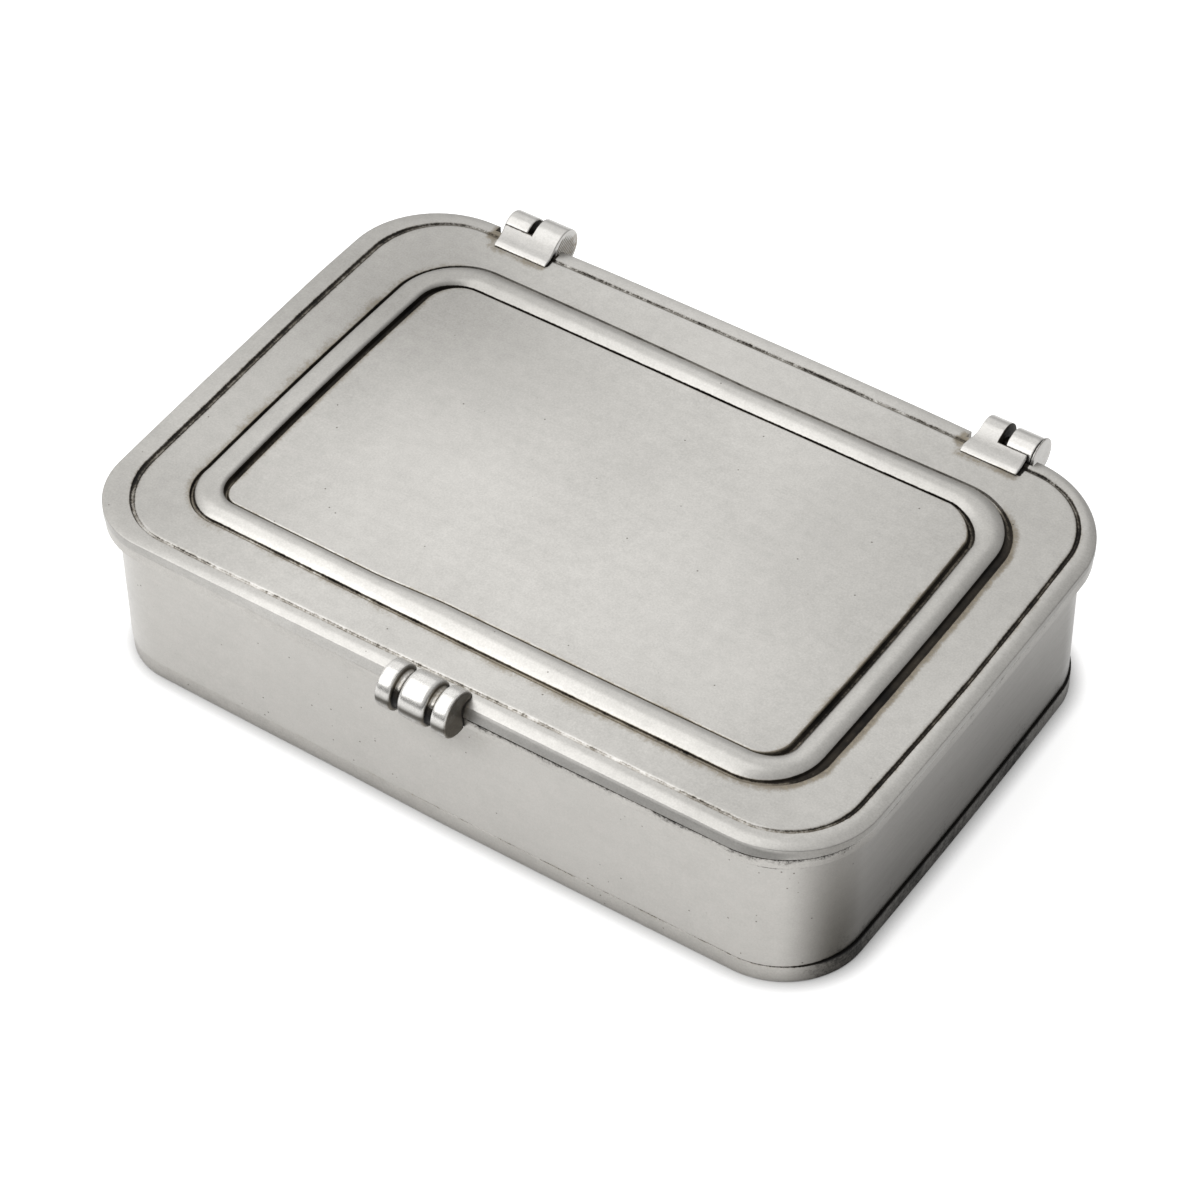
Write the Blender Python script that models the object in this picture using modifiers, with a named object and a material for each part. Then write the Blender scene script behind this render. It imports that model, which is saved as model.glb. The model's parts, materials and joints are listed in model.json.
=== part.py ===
"""Pewter table box with a hinged lid.

All lengths are in metres, +Z is up, the long side lies along X and the thumb
piece is on the -Y side.  The origin is the centre of the base's underside.
"""
import math

import bmesh
import bpy
from mathutils import Matrix

# Overall size of the lid and of the closed box without its hinges.
LENGTH = 0.140
WIDTH = 0.0942
HEIGHT = 0.0327
CORNER_RADIUS = 0.016
LONG_SIDE_BOW = 0.0005
SHORT_SIDE_BOW = 0.0006
LID_CROWN = 0.0004

# Space left between two pieces that touch on the real box.
SEAT_GAP = 0.0003

# Base, wall and mouth rim; the wall takes the height that is left.
BASE_THICKNESS = 0.0033
BASE_EDGE_ROUND = 0.0003
WALL_INSET = 0.0022
WALL_THICKNESS = 0.0020
BASE_SETBACK = 0.0001
RIM_HEIGHT = 0.0035
RIM_EDGE_INSET = 0.00014
RIM_EDGE_ROUND = 0.0004
FLARE_HEIGHT_SHARE = 0.50

# Lid plate and its mouldings, each measured inwards from the lid's edge
# or from the bead's outer foot; the margins lie between edge and bead.
LID_THICKNESS = 0.0019
LID_EDGE_SHARE = 0.47
GROOVE_INSET = 0.0031
GROOVE_WIDTH = 0.0006
GROOVE_DEPTH = 0.0003
BEAD_END_MARGIN = 0.0127
BEAD_SIDE_MARGIN = 0.0110
BEAD_CORNER = 0.0095
BEAD_BREADTH = 0.0047
BEAD_HEIGHT = 0.0010
CHANNEL_WIDTH = 0.0008
CHANNEL_DEPTH = 0.00045
PANEL_HEIGHT = 0.0004
PANEL_EDGE_ROUND = 0.0005
SMALLEST_CORNER = 0.0006

# Hinges: one near each end of the lid, alike but mirrored.
BARREL_RADIUS = 0.0034
HINGE_END_MARGIN = 0.0297
LID_KNUCKLE_LENGTH = 0.0051
KNUCKLE_SLOT = 0.0011
BODY_KNUCKLE_LENGTH = 0.0042
HINGE_REACH = 0.0020
HINGE_DROP = 0.0011
SADDLE_CLEARANCE = 0.0004
PIN_RADIUS = 0.0009
PIN_CLEARANCE = 0.0001
PIN_HEAD_THICKNESS = 0.0008
SMALL_HEAD_SHARE = 0.5
PIN_DEPTH_SHARE = 0.70
LEAF_REACH = 0.0055
LEAF_EDGE_THICKNESS = 0.00045
LEAF_STRAP_THICKNESS = 0.0007
LEAF_FOOT_BREADTH = 0.0009
LEAF_EXTRA_LENGTH = 0.0001
LEAF_MEET_ANGLE = math.radians(115.0)
LEAF_UNDER_ANGLE = math.radians(150.0)
LEAF_BEND_SHARE = 0.25
LEG_THICKNESS = 0.0015
LEG_FOOT_DROP = 0.0055
LEG_MEET_ANGLE = math.radians(-60.0)
LEG_BEND_SHARE = 0.69
LEG_STRAIGHT_SHARE = 1.6
LEG_HEEL_SHARE = 0.33

# Thumb piece: a turned bar of three rings and two necks.
THUMB_RING_RADIUS = 0.0040
THUMB_NECK_RADIUS = 0.0024
THUMB_MIDDLE_RING = 0.0049
THUMB_OUTER_RING = 0.00285
THUMB_NECK_WIDTH = 0.0013
THUMB_REACH = 0.0014
THUMB_DROP = 0.0006
RING_ACROSS_SHARES = (0.0, 0.10, 0.28, 0.5, 0.72, 0.90, 1.0)
RING_RADIUS_SHARES = (0.83, 0.93, 0.985, 1.0, 0.985, 0.93, 0.83)
NECK_ACROSS_SHARES = (0.24, 0.5, 0.76)
NECK_FALL_SHARES = (0.82, 1.0, 0.82)

# How finely the round forms are divided.
CORNER_STEPS = 9
LONG_SIDE_STEPS = 8
SHORT_SIDE_STEPS = 5
EDGE_STEPS = 3
BEAD_STEPS = 9
FLARE_STEPS = 5
CURVE_STEPS = 7
TURN_STEPS = 48
MERGE_DISTANCE = 0.000005

# Places that follow from the sizes above.
BASE_INSET = WALL_INSET + BASE_SETBACK
WALL_BOTTOM = BASE_THICKNESS + SEAT_GAP
LID_BOTTOM = HEIGHT - LID_THICKNESS
RIM_TOP = LID_BOTTOM - SEAT_GAP
RIM_BOTTOM = RIM_TOP - RIM_HEIGHT
WALL_TOP = RIM_BOTTOM - SEAT_GAP
MOUTH_INSET = WALL_INSET + WALL_THICKNESS
BEAD_HALF_LENGTH = LENGTH / 2 - BEAD_END_MARGIN
BEAD_HALF_WIDTH = WIDTH / 2 - BEAD_SIDE_MARGIN
HINGE_INNER_X = LENGTH / 2 - HINGE_END_MARGIN
AXIS_Y = WIDTH / 2 + HINGE_REACH
AXIS_Z = HEIGHT - HINGE_DROP
LID_KNUCKLE_END = HINGE_INNER_X + LID_KNUCKLE_LENGTH
BODY_KNUCKLE_START = LID_KNUCKLE_END + KNUCKLE_SLOT
BODY_KNUCKLE_END = BODY_KNUCKLE_START + BODY_KNUCKLE_LENGTH
PIN_HEAD_START = BODY_KNUCKLE_END + SEAT_GAP
PIN_HEAD_END = PIN_HEAD_START + PIN_HEAD_THICKNESS
PIN_TIP = LID_KNUCKLE_END - LID_KNUCKLE_LENGTH * PIN_DEPTH_SHARE
BORE_RADIUS = PIN_RADIUS + PIN_CLEARANCE
RELIEF_RADIUS = BARREL_RADIUS + SADDLE_CLEARANCE
LEAF_OUTER_X = BODY_KNUCKLE_END + LEAF_EXTRA_LENGTH

PARTS_NAME = "Pewter box with hinged lid"
CUTTERS_NAME = "Cutters"

# Finish of each piece: colour, roughness.
FINISHES = {
    "base_plate": ((0.46, 0.44, 0.41), 0.42),
    "body_wall": ((0.60, 0.58, 0.55), 0.36),
    "mouth_rim": ((0.62, 0.60, 0.57), 0.34),
    "lid": ((0.63, 0.61, 0.58), 0.34),
    "hinge_leaf": ((0.64, 0.63, 0.60), 0.30),
    "hinge_knuckle": ((0.61, 0.60, 0.57), 0.32),
    "hinge_pin": ((0.56, 0.55, 0.53), 0.30),
    "thumb_piece": ((0.66, 0.65, 0.62), 0.26),
}


def bow_of(distance, half_span, bow):
    """Outward bow of a side at a distance from its middle."""
    return bow * max(0.0, 1.0 - (distance / half_span) ** 2)


def lid_top_at(x):
    """Height of the lid's flat band at x, with the crown."""
    return HEIGHT + bow_of(x, LENGTH / 2, LID_CROWN)


def section(half_length, half_width, corner, height, crowned=False):
    """One rounded rectangle as a list of points, counterclockwise from above.

    The sides bow outwards a little and a crowned section follows the lid.
    """
    corner = max(corner, SMALLEST_CORNER)
    centre_x = half_length - corner
    centre_y = half_width - corner
    flat = []
    for turn, (side_x, side_y) in enumerate(((1, -1), (1, 1), (-1, 1), (-1, -1))):
        for step in range(CORNER_STEPS + 1):
            angle = math.pi / 2 * (turn - 1 + step / CORNER_STEPS)
            x = side_x * centre_x + corner * math.cos(angle)
            y = side_y * centre_y + corner * math.sin(angle)
            flat.append((x, y))
        steps = LONG_SIDE_STEPS if turn % 2 else SHORT_SIDE_STEPS
        for step in range(1, steps):
            along = 1.0 - 2.0 * step / steps
            if turn % 2:
                flat.append((side_x * centre_x * along, side_y * half_width))
            else:
                flat.append((side_x * half_length, side_y * centre_y * along))
    points = []
    for x, y in flat:
        bowed_x = x + math.copysign(bow_of(y, half_width, SHORT_SIDE_BOW), x)
        bowed_y = y + math.copysign(bow_of(x, half_length, LONG_SIDE_BOW), y)
        rise = bow_of(x, LENGTH / 2, LID_CROWN) if crowned else 0.0
        points.append((bowed_x, bowed_y, height + rise))
    return points


def lid_section(inset, height, crowned=False):
    """The lid's outline moved inwards by inset."""
    return section(LENGTH / 2 - inset, WIDTH / 2 - inset, CORNER_RADIUS - inset, height, crowned)


def bead_section(offset, height):
    """The bead's outer foot moved inwards by offset, on the lid's crown."""
    half_length = BEAD_HALF_LENGTH - offset
    half_width = BEAD_HALF_WIDTH - offset
    return section(half_length, half_width, BEAD_CORNER - offset, height, True)


def cap(mesh, ring):
    """Close a ring with two end faces and straight strips between the long sides."""
    corner = CORNER_STEPS + 1
    end = 2 * corner + SHORT_SIDE_STEPS - 1
    back = ring[end - 1:end + LONG_SIDE_STEPS]
    second = end + LONG_SIDE_STEPS - 1
    front = [ring[0]] + list(reversed(ring[second + end:])) + [ring[second + end - 1]]
    mesh.faces.new(ring[:end])
    mesh.faces.new(ring[second:second + end])
    for index in range(len(back) - 1):
        mesh.faces.new((back[index], back[index + 1], front[index + 1], front[index]))


def loft(sections, closed=False):
    """Join sections of equal point count with faces; closed joins last to first."""
    mesh = bmesh.new()
    rings = [[mesh.verts.new(point) for point in points] for points in sections]
    pairs = list(zip(rings, rings[1:]))
    if closed:
        pairs.append((rings[-1], rings[0]))
    for lower, upper in pairs:
        count = len(lower)
        for index in range(count):
            following = (index + 1) % count
            mesh.faces.new((lower[index], lower[following], upper[following], upper[index]))
    if not closed:
        cap(mesh, rings[0])
        cap(mesh, rings[-1])
    bmesh.ops.recalc_face_normals(mesh, faces=mesh.faces)
    return mesh


def extrude_profile(points, start_x, end_x):
    """A profile of (y, z) points made solid between two places along X."""
    mesh = bmesh.new()
    face = mesh.faces.new([mesh.verts.new((start_x, y, z)) for y, z in points])
    grown = bmesh.ops.extrude_face_region(mesh, geom=[face])
    verts = [item for item in grown["geom"] if isinstance(item, bmesh.types.BMVert)]
    bmesh.ops.translate(mesh, verts=verts, vec=(end_x - start_x, 0.0, 0.0))
    bmesh.ops.recalc_face_normals(mesh, faces=mesh.faces)
    return mesh


def bezier(points, steps):
    """Points along a Bezier curve with the given control points."""
    result = []
    for step in range(steps + 1):
        level = list(points)
        share = step / steps
        while len(level) > 1:
            level = [
                (a[0] + (b[0] - a[0]) * share, a[1] + (b[1] - a[1]) * share)
                for a, b in zip(level, level[1:])
            ]
        result.append(level[0])
    return result


def on_barrel(angle):
    """Point (y, z) on the hinge barrel at an angle from +Y towards +Z."""
    return (AXIS_Y + BARREL_RADIUS * math.cos(angle), AXIS_Z + BARREL_RADIUS * math.sin(angle))


def barrel_arc(start, end):
    """Points round the barrel from one angle to another."""
    steps = max(2, round(abs(end - start) / (2 * math.pi / TURN_STEPS)))
    return [on_barrel(start + (end - start) * step / steps) for step in range(steps + 1)]


def object_from(name, mesh, collection, smooth=True):
    """Put a bmesh into a new object of the given collection."""
    data = bpy.data.meshes.new(name)
    mesh.to_mesh(data)
    mesh.free()
    for polygon in data.polygons:
        polygon.use_smooth = smooth
    piece = bpy.data.objects.new(name, data)
    collection.objects.link(piece)
    return piece


def finish_of(piece, kind):
    """Give a piece its own metal material."""
    colour, roughness = FINISHES[kind]
    material = bpy.data.materials.new(piece.name + "_pewter")
    material.use_nodes = True
    shader = material.node_tree.nodes["Principled BSDF"]
    shader.inputs["Base Color"].default_value = (*colour, 1.0)
    shader.inputs["Metallic"].default_value = 1.0
    shader.inputs["Roughness"].default_value = roughness
    piece.data.materials.append(material)


def cutter(name, mesh, collection):
    """A hidden object that only cuts others."""
    piece = object_from(name, mesh, collection, smooth=False)
    piece.hide_render = True
    piece.display_type = "WIRE"
    return piece


def rod(radius, start_x, end_x, centre_y, centre_z):
    """A round bar along X."""
    mesh = bmesh.new()
    bmesh.ops.create_cone(
        mesh, cap_ends=True, segments=TURN_STEPS, radius1=radius, radius2=radius,
        depth=abs(end_x - start_x),
    )
    bmesh.ops.rotate(mesh, verts=mesh.verts, matrix=Matrix.Rotation(math.pi / 2, 3, "Y"))
    middle = ((start_x + end_x) / 2, centre_y, centre_z)
    bmesh.ops.translate(mesh, verts=mesh.verts, vec=middle)
    return mesh


def cut(piece, tool):
    """Take the tool away from the piece."""
    modifier = piece.modifiers.new("cut_" + tool.name, "BOOLEAN")
    modifier.operation = "DIFFERENCE"
    modifier.solver = "EXACT"
    modifier.object = tool


def turned(name, profile, collection):
    """A turned piece: profile of (radius, place) points, outer side, top to bottom.

    The object's own Z is the turning axis; the caller lays it along X.
    """
    mesh = bmesh.new()
    verts = [mesh.verts.new((radius, 0.0, place)) for radius, place in profile]
    for first, second in zip(verts, verts[1:]):
        mesh.edges.new((first, second))
    piece = object_from(name, mesh, collection)
    screw = piece.modifiers.new("turn", "SCREW")
    screw.axis = "Z"
    screw.angle = 2 * math.pi
    screw.steps = TURN_STEPS
    screw.render_steps = TURN_STEPS
    screw.use_merge_vertices = True
    screw.merge_threshold = MERGE_DISTANCE
    screw.use_smooth_shade = True
    return piece


def make_base(collection):
    """Flat base plate with softened edges."""
    outline = lid_section(BASE_INSET, 0.0)
    mesh = bmesh.new()
    face = mesh.faces.new([mesh.verts.new(point) for point in outline])
    grown = bmesh.ops.extrude_face_region(mesh, geom=[face])
    verts = [item for item in grown["geom"] if isinstance(item, bmesh.types.BMVert)]
    bmesh.ops.translate(mesh, verts=verts, vec=(0.0, 0.0, BASE_THICKNESS))
    bmesh.ops.recalc_face_normals(mesh, faces=mesh.faces)
    piece = object_from("base_plate", mesh, collection, smooth=False)
    bevel = piece.modifiers.new("soft_edges", "BEVEL")
    bevel.width = BASE_EDGE_ROUND
    bevel.segments = 2
    bevel.limit_method = "ANGLE"
    bevel.angle_limit = math.radians(50.0)
    finish_of(piece, "base_plate")
    return piece


def make_wall(collection):
    """Plain wall: the outline drawn up and given its thickness inwards."""
    mesh = bmesh.new()
    verts = [mesh.verts.new(point) for point in lid_section(WALL_INSET, WALL_BOTTOM)]
    edges = [mesh.edges.new(pair) for pair in zip(verts, verts[1:] + verts[:1])]
    grown = bmesh.ops.extrude_edge_only(mesh, edges=edges)
    raised = [item for item in grown["geom"] if isinstance(item, bmesh.types.BMVert)]
    bmesh.ops.translate(mesh, verts=raised, vec=(0.0, 0.0, WALL_TOP - WALL_BOTTOM))
    middle_faces = list(mesh.faces)
    if middle_faces[0].normal.dot(middle_faces[0].calc_center_median()) < 0:
        bmesh.ops.reverse_faces(mesh, faces=middle_faces)
    piece = object_from("body_wall", mesh, collection)
    shell = piece.modifiers.new("thickness", "SOLIDIFY")
    shell.thickness = WALL_THICKNESS
    shell.offset = -1.0
    shell.use_even_offset = True
    finish_of(piece, "body_wall")
    return piece


def make_rim(collection):
    """Mouth moulding: hollow flare, rounded edge and flat top."""
    flare_height = RIM_HEIGHT * FLARE_HEIGHT_SHARE
    flare_reach = WALL_INSET - RIM_EDGE_INSET
    sections = [lid_section(MOUTH_INSET, RIM_BOTTOM)]
    for step in range(FLARE_STEPS + 1):
        angle = math.pi / 2 * step / FLARE_STEPS
        inset = WALL_INSET - flare_reach * (1.0 - math.cos(angle))
        sections.append(lid_section(inset, RIM_BOTTOM + flare_height * math.sin(angle)))
    for step in range(EDGE_STEPS + 1):
        angle = math.pi / 2 * step / EDGE_STEPS
        inset = RIM_EDGE_INSET + RIM_EDGE_ROUND * (1.0 - math.cos(angle))
        height = RIM_TOP - RIM_EDGE_ROUND * (1.0 - math.sin(angle))
        sections.append(lid_section(inset, height))
    sections.append(lid_section(MOUTH_INSET, RIM_TOP))
    piece = object_from("mouth_rim", loft(sections, closed=True), collection)
    finish_of(piece, "mouth_rim")
    return piece


def lid_edge_sections():
    """The lid's rounded edge, from its underside to its top."""
    radius = LID_THICKNESS * LID_EDGE_SHARE
    sections = []
    for step in range(EDGE_STEPS + 1):
        angle = math.pi / 2 * step / EDGE_STEPS
        inset = radius * (1.0 - math.sin(angle))
        sections.append(lid_section(inset, LID_BOTTOM + radius * (1.0 - math.cos(angle))))
    for step in range(EDGE_STEPS + 1):
        angle = math.pi / 2 * step / EDGE_STEPS
        inset = radius * (1.0 - math.cos(angle))
        sections.append(lid_section(inset, HEIGHT - radius * (1.0 - math.sin(angle)), True))
    return sections


def lid_groove_sections():
    """The engraved line near the lid's edge."""
    slope = GROOVE_WIDTH / 4
    inner = GROOVE_INSET + GROOVE_WIDTH
    return [
        lid_section(GROOVE_INSET, HEIGHT, True),
        lid_section(GROOVE_INSET + slope, HEIGHT - GROOVE_DEPTH, True),
        lid_section(inner - slope, HEIGHT - GROOVE_DEPTH, True),
        lid_section(inner, HEIGHT, True),
    ]


def lid_bead_sections():
    """The bead between its two channels, then the raised panel's edge."""
    slope = CHANNEL_WIDTH / 3
    floor = HEIGHT - CHANNEL_DEPTH
    sections = [
        bead_section(-CHANNEL_WIDTH, HEIGHT),
        bead_section(-CHANNEL_WIDTH + slope, floor),
        bead_section(-slope, floor),
    ]
    for step in range(BEAD_STEPS + 1):
        angle = math.pi * step / BEAD_STEPS
        offset = BEAD_BREADTH / 2 * (1.0 - math.cos(angle))
        sections.append(bead_section(offset, HEIGHT + BEAD_HEIGHT * math.sin(angle)))
    panel = BEAD_BREADTH + CHANNEL_WIDTH
    sections.append(bead_section(BEAD_BREADTH + slope, floor))
    sections.append(bead_section(panel - slope, floor))
    for step in range(EDGE_STEPS + 1):
        angle = math.pi / 2 * step / EDGE_STEPS
        offset = panel + PANEL_EDGE_ROUND * (1.0 - math.cos(angle))
        sections.append(bead_section(offset, HEIGHT + PANEL_HEIGHT * math.sin(angle)))
    return sections


def make_lid(collection):
    """The lid as one loft from its underside over the edge to the panel."""
    sections = lid_edge_sections() + lid_groove_sections() + lid_bead_sections()
    piece = object_from("lid", loft(sections), collection)
    finish_of(piece, "lid")
    return piece


def leaf_profile():
    """Leaf and lid knuckle: foot on the lid, hollow-backed strap, barrel."""
    front = WIDTH / 2 + bow_of(HINGE_INNER_X, LENGTH / 2, LONG_SIDE_BOW) - LEAF_REACH
    seat = lid_top_at(HINGE_INNER_X) + SEAT_GAP
    top_y, top_z = on_barrel(LEAF_MEET_ANGLE)
    edge_z = seat + LEAF_EDGE_THICKNESS
    rise = max(top_z - edge_z, 0.0)
    bend_y = (top_y + front) / 2
    bend_z = edge_z + rise * LEAF_BEND_SHARE
    upper = bezier([(front, edge_z), (bend_y, bend_z), (top_y, top_z)], CURVE_STEPS)
    lower_start = front + LEAF_FOOT_BREADTH
    end_y, end_z = on_barrel(LEAF_UNDER_ANGLE)
    lower = bezier(
        [
            (end_y, max(end_z, seat + LEAF_EDGE_THICKNESS / 2)),
            (bend_y, max(bend_z - LEAF_STRAP_THICKNESS, seat + LEAF_EDGE_THICKNESS / 3)),
            (lower_start, seat),
        ],
        CURVE_STEPS,
    )
    arc = barrel_arc(LEAF_MEET_ANGLE, LEAF_UNDER_ANGLE - 2 * math.pi)
    return [(front, seat)] + upper + arc[1:-1] + lower


def knuckle_profile():
    """Body knuckle: foot on the back wall, leg behind the rim, barrel."""
    middle = (BODY_KNUCKLE_START + BODY_KNUCKLE_END) / 2
    bow = bow_of(BODY_KNUCKLE_START, LENGTH / 2, LONG_SIDE_BOW)
    wall_y = WIDTH / 2 - WALL_INSET + bow + SEAT_GAP
    rim_y = WIDTH / 2 - RIM_EDGE_INSET + bow_of(middle, LENGTH / 2, LONG_SIDE_BOW)
    pass_y = rim_y + SADDLE_CLEARANCE
    lean = min(max((pass_y - AXIS_Y) / BARREL_RADIUS, -1.0), -0.1)
    inner_meet = -math.acos(lean)
    foot_z = RIM_BOTTOM - LEG_FOOT_DROP
    outer_y = wall_y + LEG_THICKNESS
    meet_y, meet_z = on_barrel(LEG_MEET_ANGLE)
    bend = BARREL_RADIUS * LEG_BEND_SHARE
    outer = bezier(
        [
            (meet_y, meet_z),
            (meet_y + bend * math.sin(LEG_MEET_ANGLE), meet_z - bend * math.cos(LEG_MEET_ANGLE)),
            (outer_y, RIM_BOTTOM),
            (outer_y, RIM_BOTTOM - LEG_THICKNESS * LEG_STRAIGHT_SHARE),
        ],
        CURVE_STEPS,
    )
    inner = [
        (wall_y, foot_z),
        (wall_y, RIM_BOTTOM),
        (wall_y + LEG_THICKNESS / 2, RIM_BOTTOM + RIM_HEIGHT * LEG_HEEL_SHARE),
    ]
    arc = barrel_arc(inner_meet, LEG_MEET_ANGLE - 2 * math.pi)
    return inner + arc + outer[1:] + [(outer_y, foot_z)]


def make_hinge(side, word, parts, cutters):
    """One hinge on the side +1 or -1, with the cutters that it needs.

    The right pin has a head of the barrel's size, the left one a small head.
    """
    leaf = object_from(
        "hinge_leaf_" + word,
        extrude_profile(leaf_profile(), side * HINGE_INNER_X, side * LEAF_OUTER_X),
        parts, smooth=False,
    )
    knuckle = object_from(
        "hinge_knuckle_" + word,
        extrude_profile(knuckle_profile(), side * BODY_KNUCKLE_START, side * BODY_KNUCKLE_END),
        parts, smooth=False,
    )
    relief_mesh = rod(
        RELIEF_RADIUS, side * LID_KNUCKLE_END, side * (PIN_HEAD_END + BARREL_RADIUS),
        AXIS_Y, AXIS_Z,
    )
    relief = cutter("knuckle_relief_" + word, relief_mesh, cutters)
    bore_mesh = rod(
        BORE_RADIUS, side * (PIN_TIP - SEAT_GAP), side * (PIN_HEAD_END + BARREL_RADIUS),
        AXIS_Y, AXIS_Z,
    )
    bore = cutter("pin_bore_" + word, bore_mesh, cutters)
    cut(leaf, relief)
    cut(leaf, bore)
    cut(knuckle, bore)
    saddle_mesh = rod(
        RELIEF_RADIUS, side * (HINGE_INNER_X - SADDLE_CLEARANCE),
        side * (PIN_HEAD_END + SADDLE_CLEARANCE), AXIS_Y, AXIS_Z,
    )
    saddle = cutter("hinge_saddle_" + word, saddle_mesh, cutters)
    soft = PIN_HEAD_THICKNESS / 4
    head_radius = BARREL_RADIUS * (1.0 if side > 0 else SMALL_HEAD_SHARE)
    profile = [
        (0.0, PIN_HEAD_END),
        (head_radius - soft, PIN_HEAD_END),
        (head_radius, PIN_HEAD_END - soft),
        (head_radius, PIN_HEAD_START),
        (PIN_RADIUS, PIN_HEAD_START),
        (PIN_RADIUS, PIN_TIP + soft),
        (PIN_RADIUS - soft, PIN_TIP),
        (0.0, PIN_TIP),
    ]
    pin = turned("hinge_pin_" + word, profile, parts)
    pin.location = (0.0, AXIS_Y, AXIS_Z)
    pin.rotation_euler = (0.0, side * math.pi / 2, 0.0)
    finish_of(leaf, "hinge_leaf")
    finish_of(knuckle, "hinge_knuckle")
    finish_of(pin, "hinge_pin")
    return leaf, saddle


def ring_points(start, width):
    """Profile points of one turned ring, from its right edge to its left."""
    places = zip(RING_ACROSS_SHARES, RING_RADIUS_SHARES)
    return [(THUMB_RING_RADIUS * radius, start - width * across) for across, radius in places]


def thumb_profile():
    """Three rings and two necks, from the right end down to the left."""
    edge = THUMB_RING_RADIUS * RING_RADIUS_SHARES[0]
    half = THUMB_MIDDLE_RING / 2 + THUMB_NECK_WIDTH + THUMB_OUTER_RING
    profile = [(0.0, half)]
    place = half
    widths = (THUMB_OUTER_RING, THUMB_MIDDLE_RING, THUMB_OUTER_RING)
    for index, width in enumerate(widths):
        profile += ring_points(place, width)
        place -= width
        if index < len(widths) - 1:
            for across, fall in zip(NECK_ACROSS_SHARES, NECK_FALL_SHARES):
                radius = edge - (edge - THUMB_NECK_RADIUS) * fall
                profile.append((radius, place - THUMB_NECK_WIDTH * across))
            place -= THUMB_NECK_WIDTH
    profile.append((0.0, -half))
    return profile


def make_thumb_piece(parts, cutters):
    """Turned bar on the middle of the lid's front edge, cut to sit on it."""
    piece = turned("thumb_piece", thumb_profile(), parts)
    piece.location = (0.0, -(WIDTH / 2 + THUMB_REACH), HEIGHT - THUMB_DROP)
    piece.rotation_euler = (0.0, math.pi / 2, 0.0)
    front_y = -(WIDTH / 2 + LONG_SIDE_BOW + SEAT_GAP)
    top_z = HEIGHT + LID_CROWN + SEAT_GAP
    size = 6 * THUMB_RING_RADIUS
    seat = bmesh.new()
    bmesh.ops.create_cube(seat, size=size)
    half = size / 2
    bmesh.ops.translate(seat, verts=seat.verts, vec=(0.0, front_y + half, top_z - half))
    cut(piece, cutter("thumb_seat", seat, cutters))
    finish_of(piece, "thumb_piece")
    return piece


def main():
    """Build the whole box."""
    for item in list(bpy.data.objects):
        bpy.data.objects.remove(item, do_unlink=True)
    parts = bpy.data.collections.new(PARTS_NAME)
    cutters = bpy.data.collections.new(CUTTERS_NAME)
    bpy.context.scene.collection.children.link(parts)
    bpy.context.scene.collection.children.link(cutters)
    make_base(parts)
    make_wall(parts)
    rim = make_rim(parts)
    lid = make_lid(parts)
    moving = [lid]
    for side, word in ((1, "right"), (-1, "left")):
        leaf, saddle = make_hinge(side, word, parts, cutters)
        cut(lid, saddle)
        cut(rim, saddle)
        moving.append(leaf)
    moving.append(make_thumb_piece(parts, cutters))
    axis = bpy.data.objects.new("lid_hinge_axis", None)
    axis.location = (0.0, AXIS_Y, AXIS_Z)
    parts.objects.link(axis)
    for piece in moving:
        piece.parent = axis
        piece.matrix_parent_inverse = Matrix.Translation((0.0, -AXIS_Y, -AXIS_Z))


main()
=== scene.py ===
"""Looks of a lidded pewter box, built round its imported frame.

Lengths are in metres, in the frame's own axes: +X along the long side, the
thumb piece on -Y, the hinges on +Y, +Z up, the base's underside at zero.
"""

import json
import logging
import math
from dataclasses import dataclass, field, replace
from enum import Enum
from functools import partial

import bmesh
import bpy
import numpy as np
from mathutils import Matrix, Vector


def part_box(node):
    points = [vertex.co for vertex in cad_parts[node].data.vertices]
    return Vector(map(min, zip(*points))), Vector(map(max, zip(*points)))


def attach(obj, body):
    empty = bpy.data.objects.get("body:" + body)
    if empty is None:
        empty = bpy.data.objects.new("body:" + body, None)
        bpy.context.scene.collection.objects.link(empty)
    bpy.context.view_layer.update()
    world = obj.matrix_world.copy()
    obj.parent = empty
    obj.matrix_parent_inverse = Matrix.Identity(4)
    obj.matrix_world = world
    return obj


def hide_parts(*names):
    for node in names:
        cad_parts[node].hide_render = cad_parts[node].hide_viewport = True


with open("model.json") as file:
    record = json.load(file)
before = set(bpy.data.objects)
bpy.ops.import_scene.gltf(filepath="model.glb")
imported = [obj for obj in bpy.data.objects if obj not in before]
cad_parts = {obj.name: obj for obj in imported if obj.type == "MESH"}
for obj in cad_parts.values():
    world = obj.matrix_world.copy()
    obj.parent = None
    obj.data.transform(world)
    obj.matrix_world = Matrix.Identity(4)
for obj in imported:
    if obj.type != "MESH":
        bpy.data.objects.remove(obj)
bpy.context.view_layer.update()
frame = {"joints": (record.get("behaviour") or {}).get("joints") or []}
LOG = logging.getLogger("pewter_box")

Socket = bpy.types.NodeSocket
Tree = bpy.types.NodeTree
Piece = bpy.types.Object
Mesh = bpy.types.Mesh
Metal = bpy.types.Material
Pair = tuple[float, float]
Triple = tuple[float, float, float]
Four = tuple[float, float, float, float]

MM = 0.001
QUARTER_TURN = math.pi / 2
SMOOTH_LIMIT = math.radians(35.0)
CORNER_SIGNS = ((1, -1), (1, 1), (-1, 1), (-1, -1))
SIDE_AXES = {"left": (0, -1.0), "right": (0, 1.0), "front": (1, -1.0), "back": (1, 1.0)}
# Point layers of real oxide, soil and tarnish that also carry painted shade and shadow: under
# parts, in gaps, on downward faces and down the right side.
WEAR_AND_SHADE = ("grime", "soil", "tarnish")
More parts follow.
